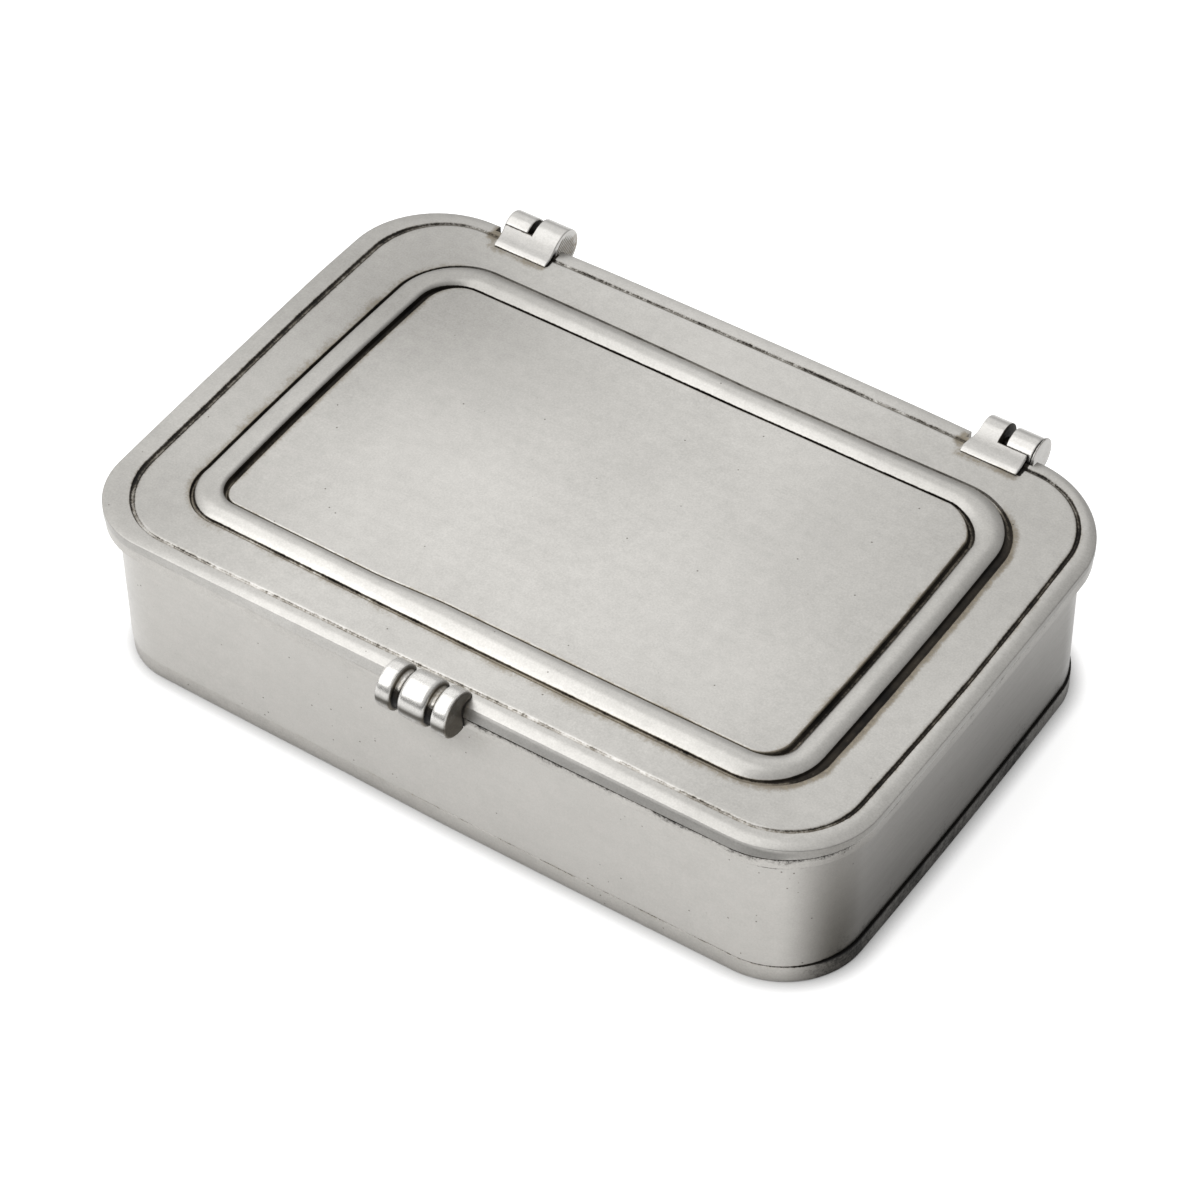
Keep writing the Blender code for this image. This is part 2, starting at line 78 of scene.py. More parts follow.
# Colour that darkening multiplies towards: real tarnish, and also painted shade on the right side,
# on downward faces, under parts and on the thumb piece's lower halves.
TARNISH_AND_SHADE_TINT = (0.125, 0.118, 0.105, 1.0)
PIT_COLOUR = (0.07, 0.058, 0.044, 1.0)
BROWN = ((0.33, 0.285, 0.21, 1.0), (0.15, 0.122, 0.085, 1.0))
BLACK = ((0.006, 0.005, 0.004, 1.0), (0.04, 0.032, 0.023, 1.0))


class Line(Enum):
    """Outlines on the lid that its stations follow."""

    EDGE = "edge"
    GROOVE = "groove"
    BEAD = "bead"


class Side(Enum):
    """Side of the box's middle on which a hinge stands."""

    LEFT = -1
    RIGHT = 1

    @property
    def word(self) -> str:
        """The side as node names say it."""
        return self.name.lower()


class Grain(Enum):
    """Direction in which a surface was rubbed down, as stretch along X, Y and Z."""

    ALONG = (0.045, 1.0, 1.0)
    ROUND = (0.06, 0.06, 1.0)
    EVEN = (1.0, 1.0, 1.0)


def mm(*values: float) -> tuple[float, ...]:
    """Give lengths in metres from values in millimetres."""
    return tuple(value * MM for value in values)


def step(values: np.ndarray, low: float, high: float) -> np.ndarray:
    """Rise smoothly from 0 at low to 1 at high."""
    share = np.clip((values - low) / (high - low), 0.0, 1.0)
    return share * share * (3.0 - 2.0 * share)


def arch(share: float, flat: np.ndarray | float, full: np.ndarray | float) -> np.ndarray:
    """Rise from 0 at both ends of a span to 1 in its middle, as flat and full shape it."""
    return (1.0 - np.abs(2.0 * share - 1.0) ** flat) ** full


@dataclass(frozen=True)
class Sides:
    """One value for each side of the lid."""

    left: float = 1.0
    front: float = 1.0
    right: float = 1.0
    back: float = 1.0

    def along(self, normals: np.ndarray) -> np.ndarray:
        """Blend the four values by the outward direction of each point.

        Args:
            normals: outward directions in plan, one row a point.

        Returns:
            One value a point.
        """
        x, y = normals[:, 0], normals[:, 1]
        across = np.where(x > 0, self.right, self.left)
        along = np.where(y > 0, self.back, self.front)
        return across * x**2 + along * y**2


@dataclass(frozen=True)
class Drift:
    """How far a hand-finished line strays outwards from its true outline.

    runs gives, for a side, places along it and the drift there, in millimetres.
    corners adds to front right, back right, back left and front left.
    """

    runs: dict[str, tuple]
    corners: Four = (0.0, 0.0, 0.0, 0.0)

    def at(self, places: np.ndarray, normals: np.ndarray) -> np.ndarray:
        """Give the drift of points.

        Args:
            places: points in plan.
            normals: their outward directions.

        Returns:
            One outward distance a point, in metres.
        """
        total = np.zeros(len(places))
        for name, (stops, amounts) in self.runs.items():
            across, sign = SIDE_AXES[name]
            weight = np.clip(normals[:, across] * sign, 0.0, 1.0) ** 2
            total += weight * np.interp(places[:, 1 - across] / MM, stops, amounts)
        for (sx, sy), amount in zip(CORNER_SIGNS, self.corners):
            weight = 2.0 * np.clip(normals[:, 0] * sx, 0, 1) * np.clip(normals[:, 1] * sy, 0, 1)
            total += weight * amount
        return total * MM


@dataclass(frozen=True)
class Outline:
    """Rounded rectangle whose sides bow outwards a little.

    The corners are front right, back right, back left and front left.
    """

    half_length: float
    half_width: float
    corners: Four
    long_bow: float
    short_bow: float
    corner_steps: int = 18
    long_steps: int = 56
    short_steps: int = 32
    smallest_corner: float = 0.8 * MM

    def inset(self, distance: float) -> "Outline":
        """Give the outline moved inwards by a distance."""
        corners = tuple(max(c - distance, self.smallest_corner) for c in self.corners)
        return replace(self, half_length=self.half_length - distance,
                       half_width=self.half_width - distance, corners=corners)

    def ring(self) -> tuple[np.ndarray, np.ndarray]:
        """Give the points in plan and their outward directions, counterclockwise."""
        arcs = []
        for index, ((sx, sy), radius) in enumerate(zip(CORNER_SIGNS, self.corners)):
            turn = QUARTER_TURN * (index - 1 + np.linspace(0.0, 1.0, self.corner_steps + 1))
            normals = np.stack([np.cos(turn), np.sin(turn)], axis=1)
            centre = (sx * (self.half_length - radius), sy * (self.half_width - radius))
            arcs.append(np.hstack([normals * radius + centre, normals]))
        rows = []
        for index, arc in enumerate(arcs):
            steps = self.long_steps if index % 2 else self.short_steps
            share = (np.arange(1, steps) / steps)[:, None]
            rows += [arc, arc[-1] * (1.0 - share) + arcs[(index + 1) % 4][0] * share]
        table = np.vstack(rows)
        points, normals = table[:, :2].copy(), table[:, 2:]
        x, y = table[:, 0], table[:, 1]
        points[:, 0] += np.sign(x) * self.short_bow * np.clip(1 - (y / self.half_width) ** 2, 0, 1)
        points[:, 1] += np.sign(y) * self.long_bow * np.clip(1 - (x / self.half_length) ** 2, 0, 1)
        return points, normals

    def end_count(self) -> int:
        """Count the points of one end: two corners and the short side."""
        return 2 * (self.corner_steps + 1) + self.short_steps - 1


@dataclass(frozen=True)
class Station:
    """One ring of a loft: where it runs and how dark its metal has gone.

    crowned is its share of the lid's crown, lean its share of the front crease's
    lean, follows how closely it keeps to its own line's drift, and share its
    place across the bead from the outer foot to the inner. across counts widths of
    its channel or line, measured inwards, and fall is its share of the edge's drop.
    """

    line: Line
    inset: float
    height: float
    grime: float = 0.0
    soil: float = 0.0
    sides: Sides = Sides()
    crowned: float = 1.0
    lean: float = 0.0
    follows: float = 1.0
    share: float = 0.0
    arched: bool = False
    across: float = 0.0
    width: Sides = Sides()
    fall: float = 0.0


class NodeBench:
    """Places and links the nodes of one tree."""

    def __init__(self, tree: Tree) -> None:
        """Take the tree that is worked on."""
        self.tree = tree

    @classmethod
    def group(cls, name: str, kind: str, inputs: dict[str, str],
              outputs: dict[str, str]) -> "NodeBench":
        """Open a new group with its sockets.

        Args:
            name: the group's name.
            kind: its tree type.
            inputs: socket types, such as Float, by name.
            outputs: the same for what it gives.

        Returns:
            A bench whose inlet holds the group's inputs.
        """
        tree = bpy.data.node_groups.new(name, kind)
        for way, sockets in (("INPUT", inputs), ("OUTPUT", outputs)):
            for label, socket in sockets.items():
                tree.interface.new_socket(label, in_out=way, socket_type="NodeSocket" + socket)
        bench = cls(tree)
        bench.inlet = bench.put("NodeGroupInput").outputs
        bench.outlet = bench.put("NodeGroupOutput")
        return bench

    @classmethod
    def metal(cls, name: str) -> tuple[Metal, "NodeBench", bpy.types.Node]:
        """Start a material and give it, its bench and its main shader."""
        material = bpy.data.materials.new(name)
        material.use_nodes = True
        return material, cls(material.node_tree), material.node_tree.nodes["Principled BSDF"]

    def fill(self, node: bpy.types.Node, inputs: dict) -> None:
        """Give a node's inputs their values or sockets, by name or number."""
        for key, value in inputs.items():
            if isinstance(value, Socket):
                self.tree.links.new(value, node.inputs[key])
            else:
                node.inputs[key].default_value = value

    def send(self, **results: Socket) -> Tree:
        """Link results to the group's outputs and give the finished group."""
        self.fill(self.outlet, results)
        return self.tree

    def put(self, kind: str, inputs: dict | None = None, **settings: object) -> bpy.types.Node:
        """Add a node.

        Args:
            kind: the node's type name.
            inputs: values or sockets by input name or number.
            settings: the node's own properties.

        Returns:
            The new node.
        """
        node = self.tree.nodes.new(kind)
        for key, value in settings.items():
            setattr(node, key, value)
        self.fill(node, inputs or {})
        return node

    def get(self, kind: str, inputs: dict | None = None, output: str | int = 0,
            **settings: object) -> Socket:
        """Add a node and give one of its outputs."""
        return self.put(kind, inputs, **settings).outputs[output]

    def math(self, operation: str, *values: object, clamp: bool = False) -> Socket:
        """Work out one value from others."""
        return self.get("ShaderNodeMath", dict(enumerate(values)), operation=operation,
                        use_clamp=clamp)

    def times(self, first: object, second: object) -> Socket:
        """Multiply two values."""
        return self.math("MULTIPLY", first, second)

    def grow(self, value: object, gain: object, base: object) -> Socket:
        """Multiply a value by a gain and add a base."""
        return self.math("MULTIPLY_ADD", value, gain, base)

    def less(self, value: object) -> Socket:
        """Give what is left of 1 without a value, never below zero."""
        return self.math("SUBTRACT", 1.0, value, clamp=True)

    def vector(self, operation: str, *values: object) -> Socket:
        """Work out a vector, or a length, from vectors."""
        output = "Value" if operation in ("LENGTH", "DISTANCE") else "Vector"
        return self.get("ShaderNodeVectorMath", dict(enumerate(values)), output,
                        operation=operation)

    def scale(self, vector: Socket, gain: object) -> Socket:
        """Multiply a vector or a colour by one value."""
        return self.get("ShaderNodeVectorMath", {0: vector, "Scale": gain}, operation="SCALE")

    def ramp(self, value: object, low: float, high: float) -> Socket:
        """Map a value smoothly to 0 at low and 1 at high."""
        inputs = {"Value": value, "From Min": low, "From Max": high}
        return self.get("ShaderNodeMapRange", inputs, "Result", interpolation_type="SMOOTHSTEP")

    def mix(self, factor: object, first: object, second: object, blend: str = "MIX") -> Socket:
        """Mix two colours."""
        inputs = {0: factor, 6: first, 7: second}
        return self.get("ShaderNodeMix", inputs, 2, data_type="RGBA", blend_type=blend)

    def noise(self, vector: object, scale: float, detail: float, roughness: float) -> Socket:
        """Give the value of a noise."""
        inputs = {"Vector": vector, "Scale": scale, "Detail": detail, "Roughness": roughness}
        return self.get("ShaderNodeTexNoise", inputs, "Fac")


class SharedEffects:
    """Shader node groups that every metal of the box uses."""

    def __init__(self) -> None:
        """Build the groups once."""
        self.tone = self._tone()
        self.grain = self._grain()
        self.patina_and_shade = self._patina_and_shade()
        self.pits = self._pits()
        self.beside = self._beside()

    @staticmethod
    def _open(name: str, inputs: dict[str, str], **outputs: str) -> NodeBench:
        """Open a shader group that reads a place in millimetres."""
        return NodeBench.group(name, "ShaderNodeTree", {"Place": "Vector", **inputs}, outputs)

    def _tone(self) -> Tree:
        """Cloudy light and dark of old pewter, with faint rubbing streaks."""
        inputs = {"Stretch": "Vector", "Colour": "Color", "Depth": "Float"}
        bench = self._open("cloudy_tone", inputs, Colour="Color")
        place = bench.inlet["Place"]
        drawn = bench.vector("MULTIPLY", place, bench.inlet["Stretch"])
        total = -0.5
        for vector, scale, weight in ((place, 0.045, 0.24), (place, 0.45, 0.22),
                                      (place, 3.2, 0.46), (drawn, 1.6, 0.08)):
            total = bench.grow(bench.noise(vector, scale, 3.0, 0.65), weight, total)
        gain = bench.grow(total, bench.inlet["Depth"], 1.0)
        return bench.send(Colour=bench.scale(bench.inlet["Colour"], gain))

    def _grain(self) -> Tree:
        """Rubbing lines and cast grain as one height, and the lines alone as streaks."""
        inputs = {"Stretch": "Vector", "Lines": "Float", "Cast": "Float"}
        bench = self._open("rubbed_grain", inputs, Height="Float", Streak="Float")
        drawn = bench.vector("MULTIPLY", bench.inlet["Place"], bench.inlet["Stretch"])
        lines = bench.noise(drawn, 6.0, 4.0, 0.7)
        broad = bench.noise(drawn, 1.3, 2.0, 0.5)
        cast = bench.times(bench.noise(bench.inlet["Place"], 2.6, 3.0, 0.6), bench.inlet["Cast"])
        return bench.send(Height=bench.grow(lines, bench.inlet["Lines"], cast),
                          Streak=bench.grow(lines, 0.6, bench.times(broad, 0.4)))

    def _patina_and_shade(self) -> Tree:
        """Brown and black oxide that fills the lines and stains beside them; the same colours also
        paint shade and shadow on many parts.
        """
        inputs = {"Colour": "Color", "Grime": "Float", "Soil": "Float"}
        bench = self._open("patina_and_shade_in_lines", inputs, Colour="Color", Mask="Float")
        place = bench.inlet["Place"]
        dots = bench.ramp(bench.noise(place, 1.9, 4.0, 0.8), 0.3, 0.7)
        clumps = bench.ramp(bench.noise(place, 0.17, 4.0, 0.7), 0.3, 0.7)
        gaps = bench.times(bench.grow(dots, 0.5, bench.times(clumps, 0.45)), -1.0)
        dark = bench.ramp(bench.grow(bench.inlet["Grime"], 1.5, gaps), -0.05, 0.75)
        patch = bench.ramp(bench.grow(bench.inlet["Soil"], 1.35, gaps), -0.15, 0.85)
        browned = bench.mix(bench.times(patch, 0.85), bench.inlet["Colour"],
                            bench.mix(dots, *BROWN))
        return bench.send(Colour=bench.mix(dark, browned, bench.mix(clumps, *BLACK)),
                          Mask=bench.math("MAXIMUM", dark, bench.times(patch, 0.5)))

    def _pits(self) -> Tree:
        """Small pits, few all over and many near one place."""
        inputs = {"Centre": "Vector", "Reach": "Float", "Amount": "Float"}
        bench = self._open("pits", inputs, Mask="Float")
        place = bench.inlet["Place"]
        cells = bench.put("ShaderNodeTexVoronoi",
                          {"Vector": place, "Scale": 1.3, "Randomness": 1.0}).outputs
        chance = bench.get("ShaderNodeSeparateColor", {0: cells["Color"]})
        apart = bench.vector("DISTANCE", place, bench.inlet["Centre"])
        near = bench.less(bench.math("DIVIDE", apart, bench.inlet["Reach"]))
        chosen = bench.math("LESS_THAN", chance, bench.grow(near, 0.9, bench.inlet["Amount"]))
        spot = bench.less(bench.ramp(cells["Distance"], 0.10, 0.27))
        return bench.send(Mask=bench.times(chosen, spot))

    def _beside(self) -> Tree:
        """Soil round a part that is soldered on, and painted shadow under the hinge straps: full
        within its block, none past its reach.
        """
        inputs = {"Centre": "Vector", "Half": "Vector", "Reach": "Float", "Strength": "Float",
                  "Amount": "Float"}
        bench = self._open("soil_beside", inputs, Amount="Float")
        inlet = bench.inlet
        apart = bench.vector("ABSOLUTE", bench.vector("SUBTRACT", inlet["Place"], inlet["Centre"]))
        past = bench.vector("SUBTRACT", apart, inlet["Half"])
        past = bench.vector("LENGTH", bench.vector("MAXIMUM", past, (0.0, 0.0, 0.0)))
        near = bench.ramp(bench.math("DIVIDE", past, inlet["Reach"]), 1.0, 0.0)
        return bench.send(Amount=bench.grow(near, inlet["Strength"], inlet["Amount"]))


@dataclass(frozen=True)
class StainAndShade:
    """Soil left beside a soldered part, round a block in the lid's metal; under the hinge straps
    the block paints a shadow instead.
    """

    centre: Triple
    half: Triple
    reach: float
    strength: float
    layer: str = "soil"


@dataclass(frozen=True)
class PewterFinish:
    """One satin or bright pewter surface."""

    name: str
    colour: Triple = (0.525, 0.514, 0.492)
    roughness: float = 0.33
    tone_depth: float = 1.0
    grain: Grain = Grain.EVEN
    line_depth: float = 0.5
    cast_depth: float = 0.3
    bump: float = 0.10
    bump_height: float = 0.05 * MM
    pit_centre: Triple = (0.0, 0.0, 0.0)
    pit_reach: float = 0.1 * MM
    pit_amount: float = 0.004
    stains_and_shade: tuple[StainAndShade, ...] = ()

    def material(self, effects: SharedEffects) -> Metal:
        """Build the finish's material.

        Args:
            effects: the shared groups.

        Returns:
            The material, reading Object coordinates and the layers of wear and painted shade.
        """
        material, bench, shader = NodeBench.metal(self.name)
        place = bench.scale(bench.get("ShaderNodeTexCoord", output="Object"), 1.0 / MM)

        def effect(tree: Tree, **inputs: object) -> bpy.types.NodeOutputs:
            """Place a shared group and give its outputs."""
            return bench.put("ShaderNodeGroup", {"Place": place, **inputs},
                             node_tree=tree).outputs

        def in_mm(place: Triple) -> Triple:
            """Turn metres into the millimetres that the groups read."""
            return tuple(value / MM for value in place)

        wear_and_shade = {label: bench.get("ShaderNodeAttribute", output="Fac", attribute_name=label)
                for label in WEAR_AND_SHADE}
        for patch in self.stains_and_shade:
            wear_and_shade[patch.layer] = effect(
                effects.beside, Centre=in_mm(patch.centre), Half=in_mm(patch.half),
                Reach=patch.reach / MM, Strength=patch.strength, Amount=wear_and_shade[patch.layer],
            )["Amount"]
        stretch = self.grain.value
        toned = effect(effects.tone, Stretch=stretch, Colour=(*self.colour, 1.0),
                       Depth=self.tone_depth)
        rubbed = effect(effects.grain, Stretch=stretch, Lines=self.line_depth,
                        Cast=self.cast_depth)
        aged_and_shaded = effect(effects.patina_and_shade, Colour=toned["Colour"], Grime=wear_and_shade["grime"],
                      Soil=wear_and_shade["soil"])
        pits = effect(effects.pits, Centre=in_mm(self.pit_centre), Reach=self.pit_reach / MM,
                      Amount=self.pit_amount)["Mask"]
        colour = bench.mix(bench.times(pits, 0.75), aged_and_shaded["Colour"], PIT_COLOUR)
        streak = bench.math("SUBTRACT", rubbed["Streak"], 0.5)
        rough = bench.grow(streak, 0.2, self.roughness)
        height = bench.math("SUBTRACT", rubbed["Height"], bench.times(pits, 0.8))
        bump = bench.get("ShaderNodeBump", {
            "Strength": self.bump, "Distance": self.bump_height, "Height": height,
        })
        bench.fill(shader, {
            # The tarnish layer darkens the base colour; much of it is painted shade.
            "Base Color": bench.mix(wear_and_shade["tarnish"], colour, TARNISH_AND_SHADE_TINT, "MULTIPLY"),
            "Roughness": bench.math("ADD", rough, bench.times(aged_and_shaded["Mask"], 0.3), clamp=True),
            "Metallic": bench.less(bench.times(aged_and_shaded["Mask"], 0.35)),
            "Normal": bump,
        })
        return material


def loft(name: str, rings: list[np.ndarray], end: int,
         layers: dict[str, list[np.ndarray]]) -> Piece:
    """Join rings of equal point count and close the first and the last.

    Args:
        name: the piece's name.
        rings: points of each ring.
        end: points of one short end, for the caps.
        layers: point values of each ring by attribute name.

    Returns:
        The closed piece.
    """
    count, last = len(rings[0]), len(rings) - 1
    faces = []
    for base in range(0, last * count, count):
        for index in range(count):
            following = (index + 1) % count
            faces.append((base + index, base + following, base + count + following,
                          base + count + index))
    faces += [face[::-1] for face in cap_faces(0, count, end)]
    faces += cap_faces(last * count, count, end)
    mesh = bpy.data.meshes.new(name)
    mesh.from_pydata(np.vstack(rings).tolist(), [], faces)
    for label, values in layers.items():
        write_layer(mesh, label, np.concatenate(values))
    return stand(name, mesh)


def cap_faces(first: int, count: int, end: int) -> list[tuple[int, ...]]:
    """Give the faces of a cap: two ends and straight strips between them."""
    ring = list(range(first, first + count))
    second = end + (count - 2 * end) // 2
    back = ring[end - 1:second + 1]
    front = [ring[0]] + list(reversed(ring[second + end:])) + [ring[second + end - 1]]
    faces = [tuple(ring[:end]), tuple(ring[second:second + end])]
    for index in range(len(back) - 1):
        faces.append((back[index], back[index + 1], front[index + 1], front[index]))
    return faces


def write_layer(mesh: Mesh, label: str, values: np.ndarray) -> None:
    """Write one value a point as an attribute."""
    attribute = mesh.attributes.new(label, "FLOAT", "POINT")
    attribute.data.foreach_set("value", np.asarray(values, dtype=np.float32))


def mesh_of(name: str, work: bmesh.types.BMesh) -> Mesh:
    """Turn a worked shape into a mesh."""
    mesh = bpy.data.meshes.new(name)
    work.to_mesh(mesh)
    work.free()
    return mesh


def extruded(name: str, points: list[Pair], start: float, end: float) -> Piece:
    """Make a (y, z) profile solid between two places along X."""
    work = bmesh.new()
    face = work.faces.new([work.verts.new((start, y, z)) for y, z in points])
    grown = bmesh.ops.extrude_face_region(work, geom=[face])
    verts = [item for item in grown["geom"] if isinstance(item, bmesh.types.BMVert)]
    bmesh.ops.translate(work, verts=verts, vec=(end - start, 0.0, 0.0))
    bmesh.ops.recalc_face_normals(work, faces=work.faces)
    return stand(name, mesh_of(name, work))


def stand(name: str, mesh: Mesh) -> Piece:
    """Put a mesh into the scene as an object at the origin."""
    piece = bpy.data.objects.new(name, mesh)
    bpy.context.scene.collection.objects.link(piece)
    return piece


def cut_with(piece: Piece, tool: Mesh) -> None:
    """Add a cut by a mesh to the piece's modifiers."""
    modifier = piece.modifiers.new("cut", "BOOLEAN")
    modifier.operation = "DIFFERENCE"
    modifier.solver = "EXACT"
    modifier.object = stand("cutter_" + tool.name, tool)


def soften(piece: Piece, grain: float, passes: int) -> None:
    """Turn a piece into an even skin with worn edges, as on a small casting."""
    skin = piece.modifiers.new("skin", "REMESH")
    skin.mode = "VOXEL"
    skin.voxel_size = grain
    worn = piece.modifiers.new("worn", "SMOOTH")
    worn.factor = 0.5
    worn.iterations = passes


def settle(piece: Piece) -> Piece:
    """Turn the piece's modifiers into a plain mesh and clear their cutters."""
    cutters = [m.object for m in piece.modifiers if m.type == "BOOLEAN"]
    view = bpy.context.evaluated_depsgraph_get()
    view.update()
    mesh = bpy.data.meshes.new_from_object(piece.evaluated_get(view))
    piece.modifiers.clear()
    piece.data = mesh
    for cutter in cutters:
        bpy.data.objects.remove(cutter, do_unlink=True)
    mesh.polygons.foreach_set("use_smooth", [True] * len(mesh.polygons))
    mesh.set_sharp_from_angle(angle=SMOOTH_LIMIT)
    return piece


def mend(piece: Piece, nearest: float = 1e-6) -> None:
    """Merge doubles and turn all faces outwards."""
    work = bmesh.new()
    work.from_mesh(piece.data)
    bmesh.ops.remove_doubles(work, verts=work.verts, dist=nearest)
    bmesh.ops.recalc_face_normals(work, faces=work.faces)
    work.to_mesh(piece.data)
    work.free()


def read_points(piece: Piece) -> tuple[np.ndarray, np.ndarray]:
    """Give the positions and normals of a piece's points."""
    vertices = piece.data.vertices
    found = []
    for label in ("co", "normal"):
        values = np.zeros(len(vertices) * 3)
        vertices.foreach_get(label, values)
        found.append(values.reshape(-1, 3))
    return found[0], found[1]


def write_wear_and_shade(piece: Piece, **amounts: np.ndarray | float) -> None:
    """Write kinds of wear and painted shade, each one value a point or one value for all."""
    count = len(piece.data.vertices)
    for label, amount in amounts.items():
        write_layer(piece.data, label, np.clip(np.broadcast_to(amount, count), 0, 1))


def move_points(piece: Piece, places: np.ndarray) -> None:
    """Give a piece's points new places."""
    piece.data.vertices.foreach_set("co", places.ravel())
    piece.data.update()


class SweepTrees:
    """Geometry node trees for what follows a path or repeats."""

    least_radius: float = 1e-7
    merge_distance: float = 2e-6

    def __init__(self) -> None:
        """Build the trees once."""
        self.outline = self._outline()
        self.turned = self._turned()
        self.marks = self._marks()

    @staticmethod
    def _open(name: str, inputs: dict[str, str]) -> NodeBench:
        """Open a tree that takes geometry and a material and gives geometry."""
        inputs = {"Geometry": "Geometry", **inputs, "Material": "Material"}
        return NodeBench.group(name, "GeometryNodeTree", inputs, {"Geometry": "Geometry"})

    @staticmethod
    def _close(bench: NodeBench, geometry: Socket) -> Tree:
        """End a tree with one real mesh and its material."""
        real = bench.get("GeometryNodeRealizeInstances", {"Geometry": geometry})
        return bench.send(Geometry=bench.get("GeometryNodeSetMaterial", {
            "Geometry": real, "Material": bench.inlet["Material"],
        }))

    def _outline(self) -> Tree:
        """A profile swept round a bowed rounded rectangle."""
        sizes = ("Length", "Width", "Corner", "Sharper Corner", "Long Bow", "Short Bow")
        bench = self._open("profile_round_outline",
                           {**dict.fromkeys(sizes, "Float"), "Corner Points": "Int",
                            "Points": "Int"})
        inlet = bench.inlet
        curve = bench.get("GeometryNodeCurvePrimitiveQuadrilateral", {
            "Width": inlet["Length"], "Height": inlet["Width"],
        })
        front_left = bench.math("COMPARE", bench.get("GeometryNodeInputIndex"), 2.0, 0.5)
        radius = bench.math("SUBTRACT", inlet["Corner"],
                            bench.times(front_left, inlet["Sharper Corner"]))
        curve = bench.get("GeometryNodeFilletCurve", {
            "Curve": curve, "Radius": radius, "Count": inlet["Corner Points"],
        }, mode="POLY")
        curve = bench.get("GeometryNodeResampleCurve", {"Curve": curve, "Count": inlet["Points"]})
        parts = bench.put("ShaderNodeSeparateXYZ",
                          {0: bench.get("GeometryNodeInputPosition")}).outputs

        def bow(along: Socket, across: Socket, span: Socket, most: Socket) -> Socket:
            """Give the outward shift of one coordinate, largest at mid side."""
            share = bench.math("DIVIDE", bench.times(across, 2.0), span)
            fall = bench.less(bench.times(share, share))
            return bench.times(bench.times(fall, most), bench.math("SIGN", along))

        shift = bench.get("ShaderNodeCombineXYZ", {
            "X": bow(parts["X"], parts["Y"], inlet["Width"], inlet["Short Bow"]),
            "Y": bow(parts["Y"], parts["X"], inlet["Length"], inlet["Long Bow"]),
        })
        curve = bench.get("GeometryNodeSetPosition", {"Geometry": curve, "Offset": shift})
        curve = bench.get("GeometryNodeSetCurveNormal", {"Curve": curve}, mode="Z_UP")
        profile = bench.get("GeometryNodeMeshToCurve", {"Mesh": inlet["Geometry"]})
        return self._close(bench, bench.get("GeometryNodeCurveToMesh", {
            "Curve": curve, "Profile Curve": profile,
        }))

    def _turned(self) -> Tree:
        """A turned bar: a circle along a line, as wide as the turned radius."""
        bench = self._open("turned_bar", {"Facets": "Int"})
        line = bench.get("GeometryNodeMeshToCurve", {"Mesh": bench.inlet["Geometry"]})
        circle = bench.get("GeometryNodeCurvePrimitiveCircle", {
            "Resolution": bench.inlet["Facets"], "Radius": 1.0,
        })
        width = bench.get("GeometryNodeInputNamedAttribute", {"Name": "turned_radius"})
        bar = bench.get("GeometryNodeCurveToMesh", {
            "Curve": line, "Profile Curve": circle, "Scale": width, "Fill Caps": True,
        })
        return self._close(bench, bench.get("GeometryNodeMergeByDistance", {
            "Geometry": bar, "Distance": self.merge_distance,
        }))

    def _marks(self) -> Tree:
        """File marks: ridges across a round face, each as long as its chord."""
        bench = self._open("file_marks", {
            "Count": "Int", "Pitch": "Float", "Radius": "Float", "Breadth": "Float",
            "Height": "Float",
        })
        inlet = bench.inlet
        reach = bench.times(bench.math("SUBTRACT", inlet["Count"], 1.0), inlet["Pitch"])
        points = bench.get("GeometryNodeMeshLine", {
            "Count": inlet["Count"],
            "Start Location": bench.get("ShaderNodeCombineXYZ", {"X": bench.times(reach, -0.5)}),
            "Offset": bench.get("ShaderNodeCombineXYZ", {"X": inlet["Pitch"]}),
        }, mode="OFFSET")
        across = bench.get("ShaderNodeSeparateXYZ", {0: bench.get("GeometryNodeInputPosition")},
                           "X")
        square = bench.math("SUBTRACT", bench.times(inlet["Radius"], inlet["Radius"]),
                            bench.times(across, across))
        chord = bench.math("SQRT", bench.math("MAXIMUM", square, 1e-9))
        uneven = bench.get("FunctionNodeRandomValue", {2: 0.82, 3: 1.0, "Seed": 5}, 1)
        size = bench.get("ShaderNodeCombineXYZ", {
            "X": bench.times(inlet["Breadth"], uneven),
            "Y": bench.times(bench.times(chord, 0.92), uneven), "Z": inlet["Height"],
        })
        ridge = bench.get("GeometryNodeMeshUVSphere", {"Segments": 8, "Rings": 6, "Radius": 1.0})
        return self._close(bench, bench.get("GeometryNodeInstanceOnPoints", {
            "Points": points, "Instance": ridge, "Scale": size,
        }))

    def turn_bar(self, name: str, table: list[Pair], sign: int, centre: Pair, facets: int,
                 material: Metal) -> Piece:
        """Turn a bar along X.

        Args:
            name: the piece's name.
            table: (x, radius) points from one end to the other.
            sign: 1, or -1 for a bar that runs towards -X.
            centre: y and z of its axis.
            facets: points round it.
            material: the piece's finish.

        Returns:
            The bar as a plain mesh.
        """
        mesh = bpy.data.meshes.new(name)
        points = [(sign * place, *centre) for place, _ in table]
        mesh.from_pydata(points, [(i, i + 1) for i in range(len(points) - 1)], [])
        write_layer(mesh, "turned_radius",
                    [max(radius, self.least_radius) for _, radius in table])
        piece = stand(name, mesh)
        self.run(piece, self.turned, {"Facets": facets, "Material": material})
        piece = settle(piece)
        mend(piece)
        return piece

    @staticmethod
    def run(piece: Piece, tree: Tree, values: dict) -> None:
        """Put a tree on a piece with its named inputs set by identifier."""
        modifier = piece.modifiers.new(tree.name, "NODES")
        modifier.node_group = tree
        names = {item.name: item.identifier for item in tree.interface.items_tree
                 if item.in_out == "INPUT"}
        for label, value in values.items():
            modifier[names[label]] = value


